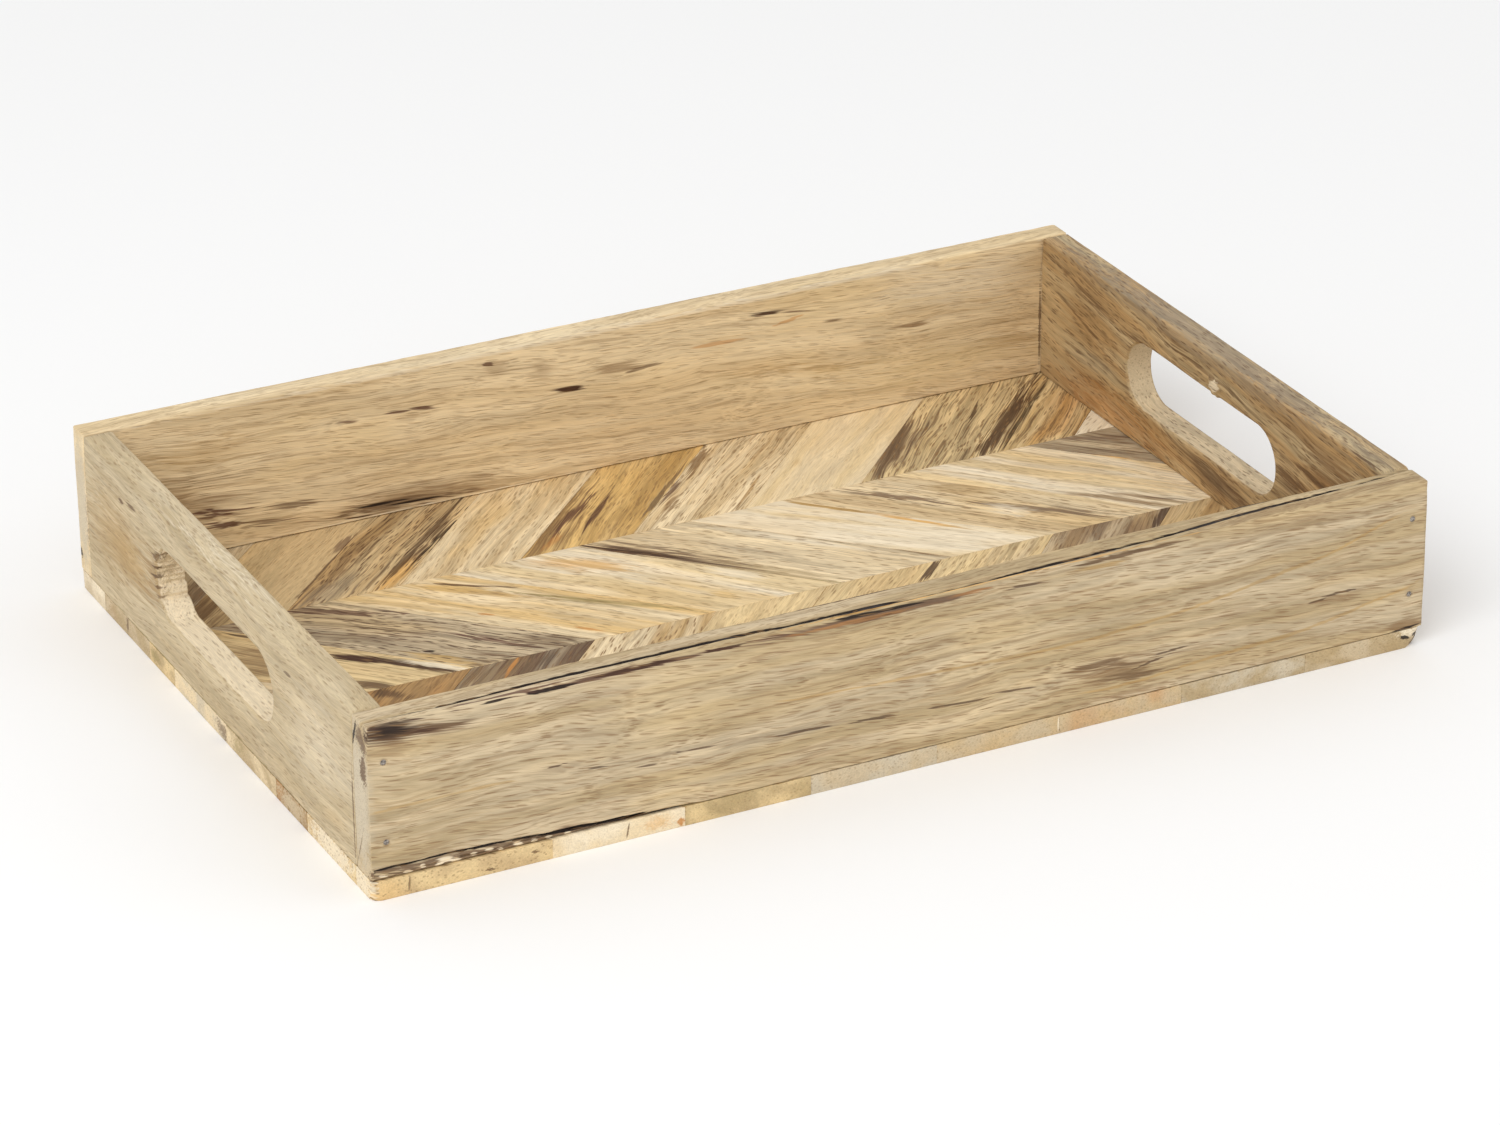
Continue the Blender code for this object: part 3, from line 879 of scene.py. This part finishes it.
FRONT_MARKS += dashes(
    FRONT,
    ((-200.5, 8.7, -197, 8.5), (-192, 8.2, -188, 8.0), (-186, 8.8, -183, 8.7), (-168, 8.5, -164.5, 8.4),
     (-162.5, 8.9, -158.5, 8.7), (-158, 7.9, -155, 7.9), (-146, 8.2, -142.5, 8.1), (-141, 8.3, -137, 8.1),
     (-134, 8.0, -130.5, 7.9)),
    1.4, IVORY, 0.9, rag=0.8, soft=0.5,
)
for brad_x, brad_z in np.array(brad_places("front")) / MM:
    FRONT_MARKS.append(streak(FRONT, brad_x - 1.4, brad_z, brad_x + 1.4, brad_z, 3.4, UMBER, 0.55, 1.0, 0.4))

# The back board: its end grain on the left
BACK_MARKS = streaks(
    LEFT_OUT, (-128.5, 4, -128.5, 68, 14, STONE, 0.8, 0.8, 0.5), (-133, 17, -131.5, 12, 3, BLACK, 0.85),
)
# its inner face: broad shades
BACK_MARKS += streaks(
    BACK_IN, (-220, 30, -128, 26, 36, BROWN, 0.65, 1.4), (-190, 48, -120, 50, 20, HONEY, 0.4, 1.4),
    (-130, 13, -28, 11, 15, BROWN, 0.7, 1.3), (-47, 57, -33, 56, 13, BROWN, 0.4, 1.4),
    (-28, 54, -16, 53, 13, BROWN, 0.35, 1.4), (-2, 48.2, 22, 46, 5, BROWN, 0.55, 1.2, 1.4),
    (40, 38, 100, 32, 12, HONEY, 0.25, 1.3, 1.4), (112, 58, 196, 48, 26, IVORY, 0.5, 1.4),
    (20, 46, 150, 42, 16, CREAM, 0.6, 1.4), (90, 24, 200, 18, 24, STRAW, 0.6, 1.4),
    (74, 33, 112, 27, 8, HONEY, 0.35, 1.3, 1.4), (168, 30, 190, 22, 15, HONEY, 0.3, 1.3, 1.4),
    (-60, 30, 40, 24, 10, CREAM, 0.5, 1.2),
)
# small marks, mostly dark, and a highlight painted along the top rim
BACK_MARKS += streaks(
    BACK_IN, (-106, 48.4, -94, 47.2, 1.8, PLUM, 0.7, 0.8), (-86, 48.4, -74, 47.2, 1.7, PLUM, 0.85, 0.8),
    (-77, 48.2, -62, 46, 2.2, PLUM, 0.9, 0.8), (-19, 43.2, -2, 42.2, 2.6, WALNUT, 1, 0.8),
    (-46, 59.8, -41, 59.2, 2, PLUM), (63, 57.2, 80, 56, 2.1, WALNUT, 0.95, 0.8),
    (76, 56, 92, 54.2, 1.3, PLUM, 0.7, 0.8), (94, 48.4, 108, 47.6, 2, UMBER, 0.7, 0.9),
    (126, 39.8, 146, 38.6, 2.6, BROWN, 0.75, 1), (-166, 24, -134, 21.6, 4.4, PLUM, 0.85, 1, 1.5),
    (-162, 19.4, -142, 16, 4, PLUM, 0.85, 1, 1.5), (-136, 20.4, -112, 18.6, 3.8, UMBER, 0.75, 1, 1.5),
    (-146, 16.4, -124, 14.2, 3.6, UMBER, 0.75, 1, 1.5), (-112, 12.2, -56, 9.8, 5, WALNUT, 0.5, 1, 1.6),
    (-104, 12.8, -76, 11.6, 1.3, BLACK, 0.95, 0.7, 0.8), (-88, 10.9, -64, 10, 1.1, BLACK, 0.95, 0.7, 0.8),
    (-104, 9, -92, 8.6, 1, WALNUT, 0.9, 0.7, 0.8), (10, 44.4, 32, 45.4, 1.6, UMBER, 0.65),
    (39, 48.6, 62, 48.4, 1.8, ORANGE, 0.55), (74, 50.6, 90, 53.4, 1.6, ORANGE, 0.55),
    # the first row on the next line is a highlight painted along the board's top rim
    (-200, 63.4, 200, 63.4, 2, IVORY, 0.7, 0.7), (-148, 7.7, 22, 7.7, 1.1, IVORY, 0.8, 0.6, 1.2),
    (191.5, 8, 191.5, 50, 1.2, UMBER, 0.75),
)

# The left board: the shades beside the hole, then the hole's sides and the fibres torn at its far end, with
# shade painted round and inside that end and between the fibres
LEFT_MARKS = streaks(
    LEFT_OUT, (-136, 38, -48, 34, 46, HONEY, 0.5, 1.4), (-104, 37, -56, 32, 20, HONEY, 0.4, 1.4),
    # the last row: painted shade round the hole's far end
    (-64, 38, -46, 38, 24, HAZEL, 0.5, 1, 1.6),
)
LEFT_MARKS += [
    hole_tone(LEFT_OUT, -2, 38, 230, 60, IVORY, 0.72),
    # painted shade over the hole's far end, inside it
    streak(("end", -198.0), -53, 30, -50, 55, 13, KHAKI, 0.6, 1.0, 1.3, deep=9.0),
]
LEFT_MARKS += streaks(
    # the first five rows: painted shade in the hollow and between the torn fibres at the hole's far end
    LEFT_OUT, (-58, 45, -44, 48, 6, UMBER, 0.7, 0.9, 1.2),
    (-59, 40.6, -49, 41.4, 1.6, UMBER, 0.8, 0.8, 0.8), (-60, 37, -51, 37.6, 1.5, WALNUT, 0.7, 0.8, 0.8),
    (-58, 33.4, -50, 33.8, 1.6, UMBER, 0.8, 0.8, 0.8), (-56, 30, -49, 30.2, 1.4, UMBER, 0.6, 0.8, 0.8),
    (56, 38, 118, 40, 44, IVORY, 0.35, 1.4), (88, 15, 118, 20, 9, TAN, 0.4, 1.2),
    (-89, 53.6, -84, 53.4, 1.8, UMBER, 0.85), (-82, 55.2, -71, 56, 1.7, UMBER, 0.75),
    (63, 53.8, 69, 54.2, 1.7, UMBER, 0.7), (119.4, 4, 119.4, 50, 1.3, UMBER, 0.75, 0.6, 0.6),
    (-122.8, 4, -122.8, 64, 1.1, ASH, 0.5, 0.6, 0.6), (-98, 7.6, 45, 7.6, 1, OLIVE, 0.8, 0.6, 1.6),
)

# The right board: the hole's sides, then the inner face and the top edge
RIGHT_MARKS = [hole_tone(RIGHT_IN, -4, 36, 230, 60, SAND, 0.85)]
RIGHT_MARKS += streaks(
    RIGHT_IN, (-128, 13, -5, 11, 24, ORANGE, 0.45, 1.4), (-25, 17, 45, 14, 14, UMBER, 0.7, 1.3),
    (45, 40, 75, 34, 18, UMBER, 0.75, 1.3), (50, 58, 125, 50, 14, BROWN, 0.6, 1.3),
    (54, 42, 126, 44, 26, BROWN, 0.75, 1.4), (-125, 62.6, 125, 62.6, 8, GREY, 0.6, 1),
    (-128, 35, -117, 35, 64, TAN, 0.7, 1), (-118, 60, -60, 48, 2.4, UMBER, 0.55, 0.9, 1.3),
    (-118, 48, -70, 36, 2.2, UMBER, 0.6, 0.9, 1.3), (-72, 48, -20, 51, 2.2, UMBER, 0.6, 0.9, 1.3),
    (-30, 57, 40, 54, 2, UMBER, 0.6, 0.9, 1.3), (54, 46, 92, 42, 2.6, UMBER, 0.75, 0.9, 1.3),
    (56, 39, 80, 35, 2.6, UMBER, 0.75, 0.9, 1.3), (-105, 24, -60, 30, 9, GREY, 0.4, 1.3, 1.4),
    (2.5, 51.5, 10, 54.5, 5.5, IVORY, 0.95),
)
RIGHT_MARKS += streaks(
    TOP, (197.5, -133, 197.5, 133, 14, GREY, 0.9, 1.1, 0.8),
    (197.5, -110, 197.5, 110, 6, ASH, 0.25, 1.2, 1.4),
)
RIGHT_MARKS += [streak(TOP, 192.8, -122, 192.6, -96, 0.9, UMBER, 0.8, 0.6, 0.6, deep=1.5)]


def look(light, dark, *floor_marks, edge=(), **changes):
    """A slat's look: its light and dark tones, its rows of marks on the tray's floor, its marks on the
    base's edge, and what else differs from WOOD."""
    return dict(light=light, dark=dark, marks=[*streaks(FLOOR, *floor_marks), *edge], **changes)


SLAT_LOOKS = {
    "slat_back_01": look(IVORY, SAND, warm=SAND, lines=0.15, pores=0.2),
    "slat_back_02": look(
        SAND, KHAKI, (-190, 76, -158, 108, 20, UMBER, 0.8, 1.2),
        warm=SAND,
        edge=streaks(
            LEFT_OUT, (-88, 1, -87, 8, 3, UMBER, 0.7, 0.9), (-108, 3.6, -96, 3.6, 9, HAZEL, 0.4, 1.2),
        ),
    ),
    "slat_back_03": look(
        TAN, KHAKI, (-200, 64, -146, 112, 40, HAZEL, 0.5, 1.4), (-198, 60, -156, 100, 26, UMBER, 0.8, 1.2),
        (-150, 66, -88, 127, 2.6, UMBER, 0.85), (-150, 64, -128, 86, 7, UMBER, 0.5, 1.2),
        (-117, 101, -105, 113, 4.5, PLUM, 0.6),
        lines=0.15, streaks=0.15, band=0.6, pores=0.3,
    ),
    "slat_back_04": look(
        TAN, HAZEL, (-150, 62, -112, 84, 16, GREY, 0.6, 1.2),
        (-142, 66, -90, 118, 7, UMBER, 0.4, 1.2, 1.6), (-122, 60, -86, 88, 9, AMBER, 0.8, 1),
        (-122, 60, -52, 127, 3.4, WALNUT, 0.75, 0.8, 1.4), (-98, 78, -56, 118, 5, WALNUT, 0.75, 0.9, 1.4),
        (-92, 83, -60, 112, 2.4, BLACK, 0.8, 0.7, 1.2),
        lines=0.8, line_tone=UMBER, streaks=0.4, pores=0.8, pore_tone=UMBER,
    ),
    "slat_back_05": look(
        CREAM, TAN, (-46, 96, -24, 122, 11, KHAKI, 0.4, 1.3, 1.4),
        cloud=0.5, warm=GOLD, lines=0.3, pores=0.45,
    ),
    "slat_back_06": look(
        GOLD, HONEY, (-62, 58, -8, 112, 24, BROWN, 0.75, 1.2, 1.3),
        (-44, 72, -4, 112, 5.5, PLUM, 0.85, 0.8, 1.5), (-28, 76, -4, 102, 4, PLUM, 0.85, 0.8, 1.5),
        (-50, 66, -34, 80, 4, ORANGE, 0.5, 0.9), (-16, 60, 48, 124, 11, STRAW, 0.6, 1, 1.3),
        (-12, 68, 42, 122, 2.4, UMBER, 0.75),
        lines=0.5, streaks=0.3, warm=STRAW,
    ),
    "slat_back_07": look(
        CREAM, TAN, (0, 70, 24, 98, 6, BROWN, 0.7, 1, 1.5), (8, 84, 24, 100, 3, PLUM, 0.7, 0.8, 1.5),
        (28, 101, 48, 124, 4.5, BROWN, 0.75, 0.9, 1.5), (26, 62, 58, 96, 2, HAZEL, 0.8, 0.7),
        lines=0.55, pores=0.6, cloud=0.5,
    ),
    "slat_back_08": look(
        CREAM, STRAW, (73, 109, 80, 115, 3, ORANGE, 0.6), (66, 88, 74, 98, 4, HONEY, 0.35, 1),
        (60, 70, 96, 92, 10, SAND, 0.4, 1.2),
        lines=0.12, pores=0.12, band=0.6, streaks=0.14,
    ),
    "slat_back_09": look(
        STRAW, KHAKI, (76, 58, 140, 122, 26, ASH, 0.8, 1.1), (84, 62, 138, 118, 10, UMBER, 0.55, 1, 1.5),
        (146, 96, 158, 111, 2.4, WALNUT, 0.8, 0.7),
        lines=0.75, line_tone=UMBER, pores=0.75, streaks=0.4,
    ),
    "slat_back_10": look(
        STRAW, HONEY, (124, 56, 196, 128, 16, UMBER, 0.7, 1, 1.5),
        (128, 60, 192, 124, 7, WALNUT, 0.75, 0.8, 1.3), (142, 66, 186, 110, 2.2, BLACK, 0.6, 0.7, 1.4),
        warm=ORANGE, cloud=0.4, lines=0.65, line_tone=UMBER, pores=0.7,
    ),
    "slat_back_11": look(IVORY, CREAM, warm=AMBER, cloud=0.4, lines=0.1, band=0.3, streaks=0.1),
    "slat_mid_01": look(
        CREAM, STONE, warm=STONE, lines=0.2,
        edge=streaks(LEFT_OUT, (-4, 4.5, 9, 2.5, 7, ASH, 0.75, 1)),
    ),
    "slat_mid_02": look(
        STRAW, KHAKI, (-192, 54, -150, 10, 26, BROWN, 0.6, 1.2), (-178, 60, -160, 44, 3, WALNUT, 0.8, 0.7),
        (-154, 30, -131, 9, 7.5, WALNUT, 1, 0.7, 0.8), (-138, 16, -111, -10, 7, WALNUT, 0.95, 0.7, 0.8),
        (-153, 4, -138, -10, 7, UMBER, 0.9, 0.8), (-130, 11, -106, -12, 4.4, IVORY, 0.9, 0.7, 1.2),
        (-148, 44, -138, 34, 6, KHAKI, 0.7, 1),
        lines=0.4,
        edge=streaks(LEFT_OUT, (-66, 3.6, -55, 3.6, 7, OLIVE, 0.6, 1)),
    ),
    "slat_mid_03": look(
        SAND, GREY, (-180, 70, -148, 46, 14, BROWN, 0.6, 1.2),
        (-154, 68, -104, 39, 6, PLUM, 0.75, 0.9, 1.6), (-140, 40, -118, 22, 5, ASH, 0.6, 1, 1.6),
        (-128, 18, -106, -6, 6, GOLD, 0.7, 1), (-120.5, 14, -115.5, 11.6, 2.4, BLACK, 0.9, 0.6, 0.5),
        (-112, 30, -78, -7, 5.5, PLUM, 0.85, 0.9, 1.4), (-98, 14, -60, -9, 16, UMBER, 0.5, 1.3, 1.3),
        lines=0.85, line_tone=UMBER, pores=0.85, pore_tone=WALNUT, streaks=0.4,
    ),
    "slat_mid_04": look(
        CREAM, GOLD, (-108, 68, -58, 27, 5, HONEY, 0.75, 0.9), (-68, 37, -10, -10, 5, OLIVE, 0.65, 1, 1.2),
        (-104, 66, -76, 45, 10, GOLD, 0.85, 1), (-102, 66.5, -70, 45, 2.2, UMBER, 0.9),
        (-74, 44, -40, 14, 1.6, OLIVE), (-91, 32, -85, 28, 2, ORANGE), (-65, 7, -56, -2, 2.2, ORANGE),
        lines=0.45, pores=0.5, line_tone=KHAKI,
    ),
    "slat_mid_05": look(
        IVORY, STRAW, (-58, 64, -22, 38, 13, AMBER, 0.7, 1.2), (-9, 10, -1, 0, 6, GOLD, 0.6, 0.9),
        (-4, 30, 16, 8, 9, IVORY, 0.7, 1),
        lines=0.35, pores=0.5, cloud=0.5, line_tone=KHAKI,
    ),
    "slat_mid_06": look(
        CREAM, SAND, (-14, 46, 42, -10, 15, KHAKI, 0.8, 1.2, 1.2), (-44, 74, 16, 20, 15, ASH, 0.9, 1, 1.3),
        (-40, 70, 2, 32, 9, WALNUT, 0.9, 1, 1.4), (14, 10, 44, -12, 4, OLIVE, 0.5, 0.9),
        (12, 60, 66, 6, 6, IVORY, 0.8, 1), (-6, 66, 30, 40, 8, KHAKI, 0.35, 1.2, 1.4),
        (52, 28, 84, -8, 3.2, BROWN, 0.8, 0.8),
        lines=0.55, pores=0.6, line_tone=GREY, streaks=0.35,
    ),
    "slat_mid_07": look(
        IVORY, STRAW, (48, 67, 76, 38, 3, HONEY, 0.95, 0.7), (72, 42, 101, 10, 2.8, AMBER, 0.95, 0.7),
        (88, 24, 106, 4, 2, HONEY, 0.5, 0.9),
        lines=0.25, pores=0.3, streaks=0.16, line_tone=KHAKI,
    ),
    "slat_mid_08": look(
        CREAM, TAN, (69, 68, 110, 28, 5.5, ASH, 0.9, 0.8, 2), (100, 38, 156, -4, 6.5, ASH, 0.85, 0.9, 2),
        (84, 62, 120, 30, 3.5, GREY, 0.5, 0.9, 2), (112, 28, 129, 10, 12, IVORY, 0.7, 1.2),
        (96, 52, 130, 34, 12, HONEY, 0.5, 1.2),
        lines=0.5, pores=0.7,
    ),
    "slat_mid_09": look(
        IVORY, STRAW, (144, 26, 180, -10, 5, BROWN, 0.65, 1, 1.3),
        (154, 22, 184, -8, 4, BROWN, 0.6, 0.9, 1.3), (168, 8, 186, -6, 2, UMBER, 0.6, 0.8),
        lines=0.3, pores=0.4,
    ),
    "slat_mid_10": look(
        SAND, GREY, (146, 67, 190, 32, 2.8, AMBER, 0.85), (160, 70, 196, 52, 5, PLUM, 0.5, 1, 1.4),
        lines=0.7, line_tone=UMBER,
    ),
    "slat_near_01": look(
        CREAM, KHAKI, warm=SAND,
        edge=streaks(LEFT_OUT, (10, 3.6, 24, 3.6, 7, OLIVE, 0.45, 1.1)),
    ),
    "slat_near_02": look(
        HAZEL, BROWN, (-150, -4, -137, -18, 9, WALNUT, 0.7, 1),
        lines=0.5, warm=ORANGE, cloud=0.4, line_tone=UMBER,
        edge=streaks(LEFT_OUT, (48, 3.6, 80, 3.6, 12, SAND, 0.9, 1)),
    ),
    "slat_near_03": look(
        GREY, UMBER, (-90, -4, -104, -19, 2.2, ORANGE, 0.85, 0.7),
        (-104, -4, -118, -19, 8, UMBER, 0.5, 1.2), (-74, -4, -92, -19, 7, WALNUT, 0.55, 1.2),
        lines=0.6, line_tone=PLUM,
    ),
    "slat_near_04": look(CREAM, HONEY, pores=0.8, warm=HONEY),
    "slat_near_05": look(STRAW, TAN, lines=0.2, pores=0.3),
    "slat_near_06": look(STRAW, TAN, (80, -3, 61, -20, 4.5, WALNUT, 0.85), lines=0.4),
    "slat_near_07": look(STRAW, SAND, (112, -3, 98, -19, 4, KHAKI, 0.6), lines=0.45),
    "slat_near_08": look(
        SAND, BROWN, (177, -3, 159, -20, 4.5, WALNUT), (150, -4, 134, -19, 6, ASH, 0.6, 1.1),
        lines=0.6, line_tone=UMBER,
    ),
    "slat_near_09": look(TAN, HAZEL),
    "slat_front_01": look(
        STRAW, TAN, warm=AMBER, cloud=0.4, pores=0.8, band=1.0,
        edge=streaks(LEFT_OUT, (112, 3.6, 136, 3.6, 14, IVORY, 0.9, 0.8))
        + streaks(FRONT, (-190.2, 0, -189.6, 7.2, 0.9, UMBER, 0.7, 0.7, 0.4)),
    ),
    "slat_front_02": look(
        STRAW, TAN, warm=AMBER, cloud=0.4, pores=0.8, band=1.0,
        edge=streaks(LEFT_OUT, (74, 3.6, 124, 3.6, 14, IVORY, 0.9, 0.8))
        + streaks(FRONT, (-146, 4.5, -143, 4.2, 1.3, UMBER), (-163, 2, -159, 1.6, 1.3, UMBER)),
    ),
    "slat_front_03": look(
        IVORY, CREAM, lines=0.15, pores=0.2,
        edge=streaks(
            FRONT, (-111, 0, -109.6, 7.2, 0.8, UMBER, 0.8, 0.6, 0.5),
            (-107, 4, -92, 3, 7, AMBER, 0.5, 1.2), (-92, 2.2, -89, 2.2, 3.4, ORANGE, 0.9, 0.8),
        ),
    ),
    "slat_front_04": look(STRAW, KHAKI, warm=OLIVE, cloud=0.25, lines=0.5, line_tone=HONEY),
    "slat_front_05": look(STONE, SAND, lines=0.4, line_tone=GREY),
    "slat_front_06": look(
        SAND, TAN, lines=0.3,
        edge=streaks(FRONT, (54.6, 0.6, 54.9, 7.2, 1.1, IVORY, 0.95, 0.6, 0.4)),
    ),
    "slat_front_07": look(TAN, SAND, warm=ORANGE, cloud=0.5),
    "slat_front_08": look(STONE, KHAKI, pores=0.5),
    "slat_front_09": look(
        SAND, KHAKI, warm=HONEY, pores=0.5,
        edge=streaks(
            FRONT, (193, 6.2, 210, 5.6, 5.5, IVORY, 0.9, 0.7, 1, 0, 14),
            (193.6, 5, 198.6, 3.6, 1.5, BLACK, 0.95, 0.6, 1.2, 1, 14),
            (199, 4, 204, 5.2, 1.8, BLACK, 0.95, 0.6, 0.9, 1, 14),
            (197, 1.4, 205, 0.4, 3.4, UMBER, 0.8, 0.8, 1, 0, 14),
        ),
    ),
    "slat_front_10": look(SAND, BROWN, lines=0.5),
}
SLAT_LEANS = {"slat_back": -1, "slat_mid": 1, "slat_near": -1, "slat_front": 1}


def build_boards():
    front = wood(
        "front_board", GRAIN_X, 1, FRONT_MARKS, light=SAND, dark=KHAKI, warm=STRAW, cloud=0.3, lines=0.42,
        streaks=0.26, pores=0.6, pore_size=(13.0, 0.85, 0.85), pore_turn=(0.0, 0.12, 0.0),
    )
    finish_piece(long_board("front"), "front_wall", front)
    back = wood(
        "back_board", (0.0, 0.05, 0.0), 2, BACK_MARKS, light=CREAM, dark=TAN, warm=STRAW, cloud=0.4,
        band=0.55, lines=0.36, streaks=0.18, fibre=0.12, pores=0.32, pore_size=(10.0, 0.85, 0.85),
        pore_turn=(0.0, 0.05, 0.0),
    )
    finish_piece(long_board("back"), "back_wall", back)
    left = wood(
        "left_end_board", GRAIN_Y, 3, LEFT_MARKS, light=WHEAT, dark=DUN, warm=STONE, lines=0.35,
        streaks=0.18, pores=0.4, line_tone=GREY, pore_turn=(0.0, 0.08, 0.0),
    )
    finish_piece(end_board("left"), "left_end_wall", left)
    right = wood(
        "right_end_board", (0.0, -0.1, math.pi / 2), 4, RIGHT_MARKS, light=DUN, dark=HAZEL, warm=HAZEL,
        cloud=0.3, lines=0.6, line_tone=UMBER, streaks=0.35, pores=0.6, pore_tone=UMBER,
    )
    finish_piece(end_board("right"), "right_end_wall", right)


def build_slats():
    nodes = sorted(name for name in frame["nodes"] if name.startswith("slat_"))
    for seed, node in enumerate(nodes):
        lean = SLAT_LEANS[node.rsplit("_", 1)[0]]
        turn = (0.0, 0.0, -lean * math.pi / 4 + 0.05 * math.sin(seed * 1.7))
        material = wood(node, turn, seed + 5, **SLAT_LOOKS.get(node, {}))
        finish_piece(slat(node, lean, seed), node, material)


def build_brads():
    material = steel()
    for node in BRADS:
        finish_piece(brad(node), node, material)


def add_stage():
    bpy.ops.mesh.primitive_plane_add(size=FLOOR_SIZE, location=(0, 0, CAD_LOW[2]))
    floor = bpy.context.active_object
    floor.name = "studio_floor"
    graph = Graph("studio_floor")
    graph.surface({"Base Color": (*FLOOR_COLOUR, 1.0), "Roughness": 0.9, "Specular IOR Level": 0.1})
    floor.data.materials.append(graph.material)
    world = bpy.data.worlds.new("studio")
    world.use_nodes = True
    background = world.node_tree.nodes["Background"]
    background.inputs["Color"].default_value = (1.0, 1.0, 1.0, 1.0)
    background.inputs["Strength"].default_value = WORLD_STRENGTH
    bpy.context.scene.world = world
    for name, place, size, power in LIGHTS:
        light = bpy.data.lights.new(name, "AREA")
        light.energy = power
        light.size = size
        lamp = add_object(name, light)
        lamp.location = place
        lamp.rotation_mode = "QUATERNION"
        lamp.rotation_quaternion = (-Vector(place)).to_track_quat("-Z", "Y")


def add_camera():
    data = bpy.data.cameras.new("camera")
    data.lens = CAMERA_LENS
    data.sensor_width = SENSOR_WIDTH
    camera = add_object("camera", data)
    place = Vector(CAMERA_PLACE)
    camera.location = place
    aimed = (Vector(CAMERA_AIM) - place).to_track_quat("-Z", "Y").to_matrix().to_4x4()
    roll = Matrix.Rotation(CAMERA_ROLL, 4, "Z")
    camera.rotation_mode = "QUATERNION"
    camera.rotation_quaternion = (aimed @ roll).to_quaternion()
    bpy.context.scene.camera = camera


add_camera()
add_stage()
build_boards()
build_slats()
build_brads()
bpy.context.scene.view_settings.view_transform = "Standard"
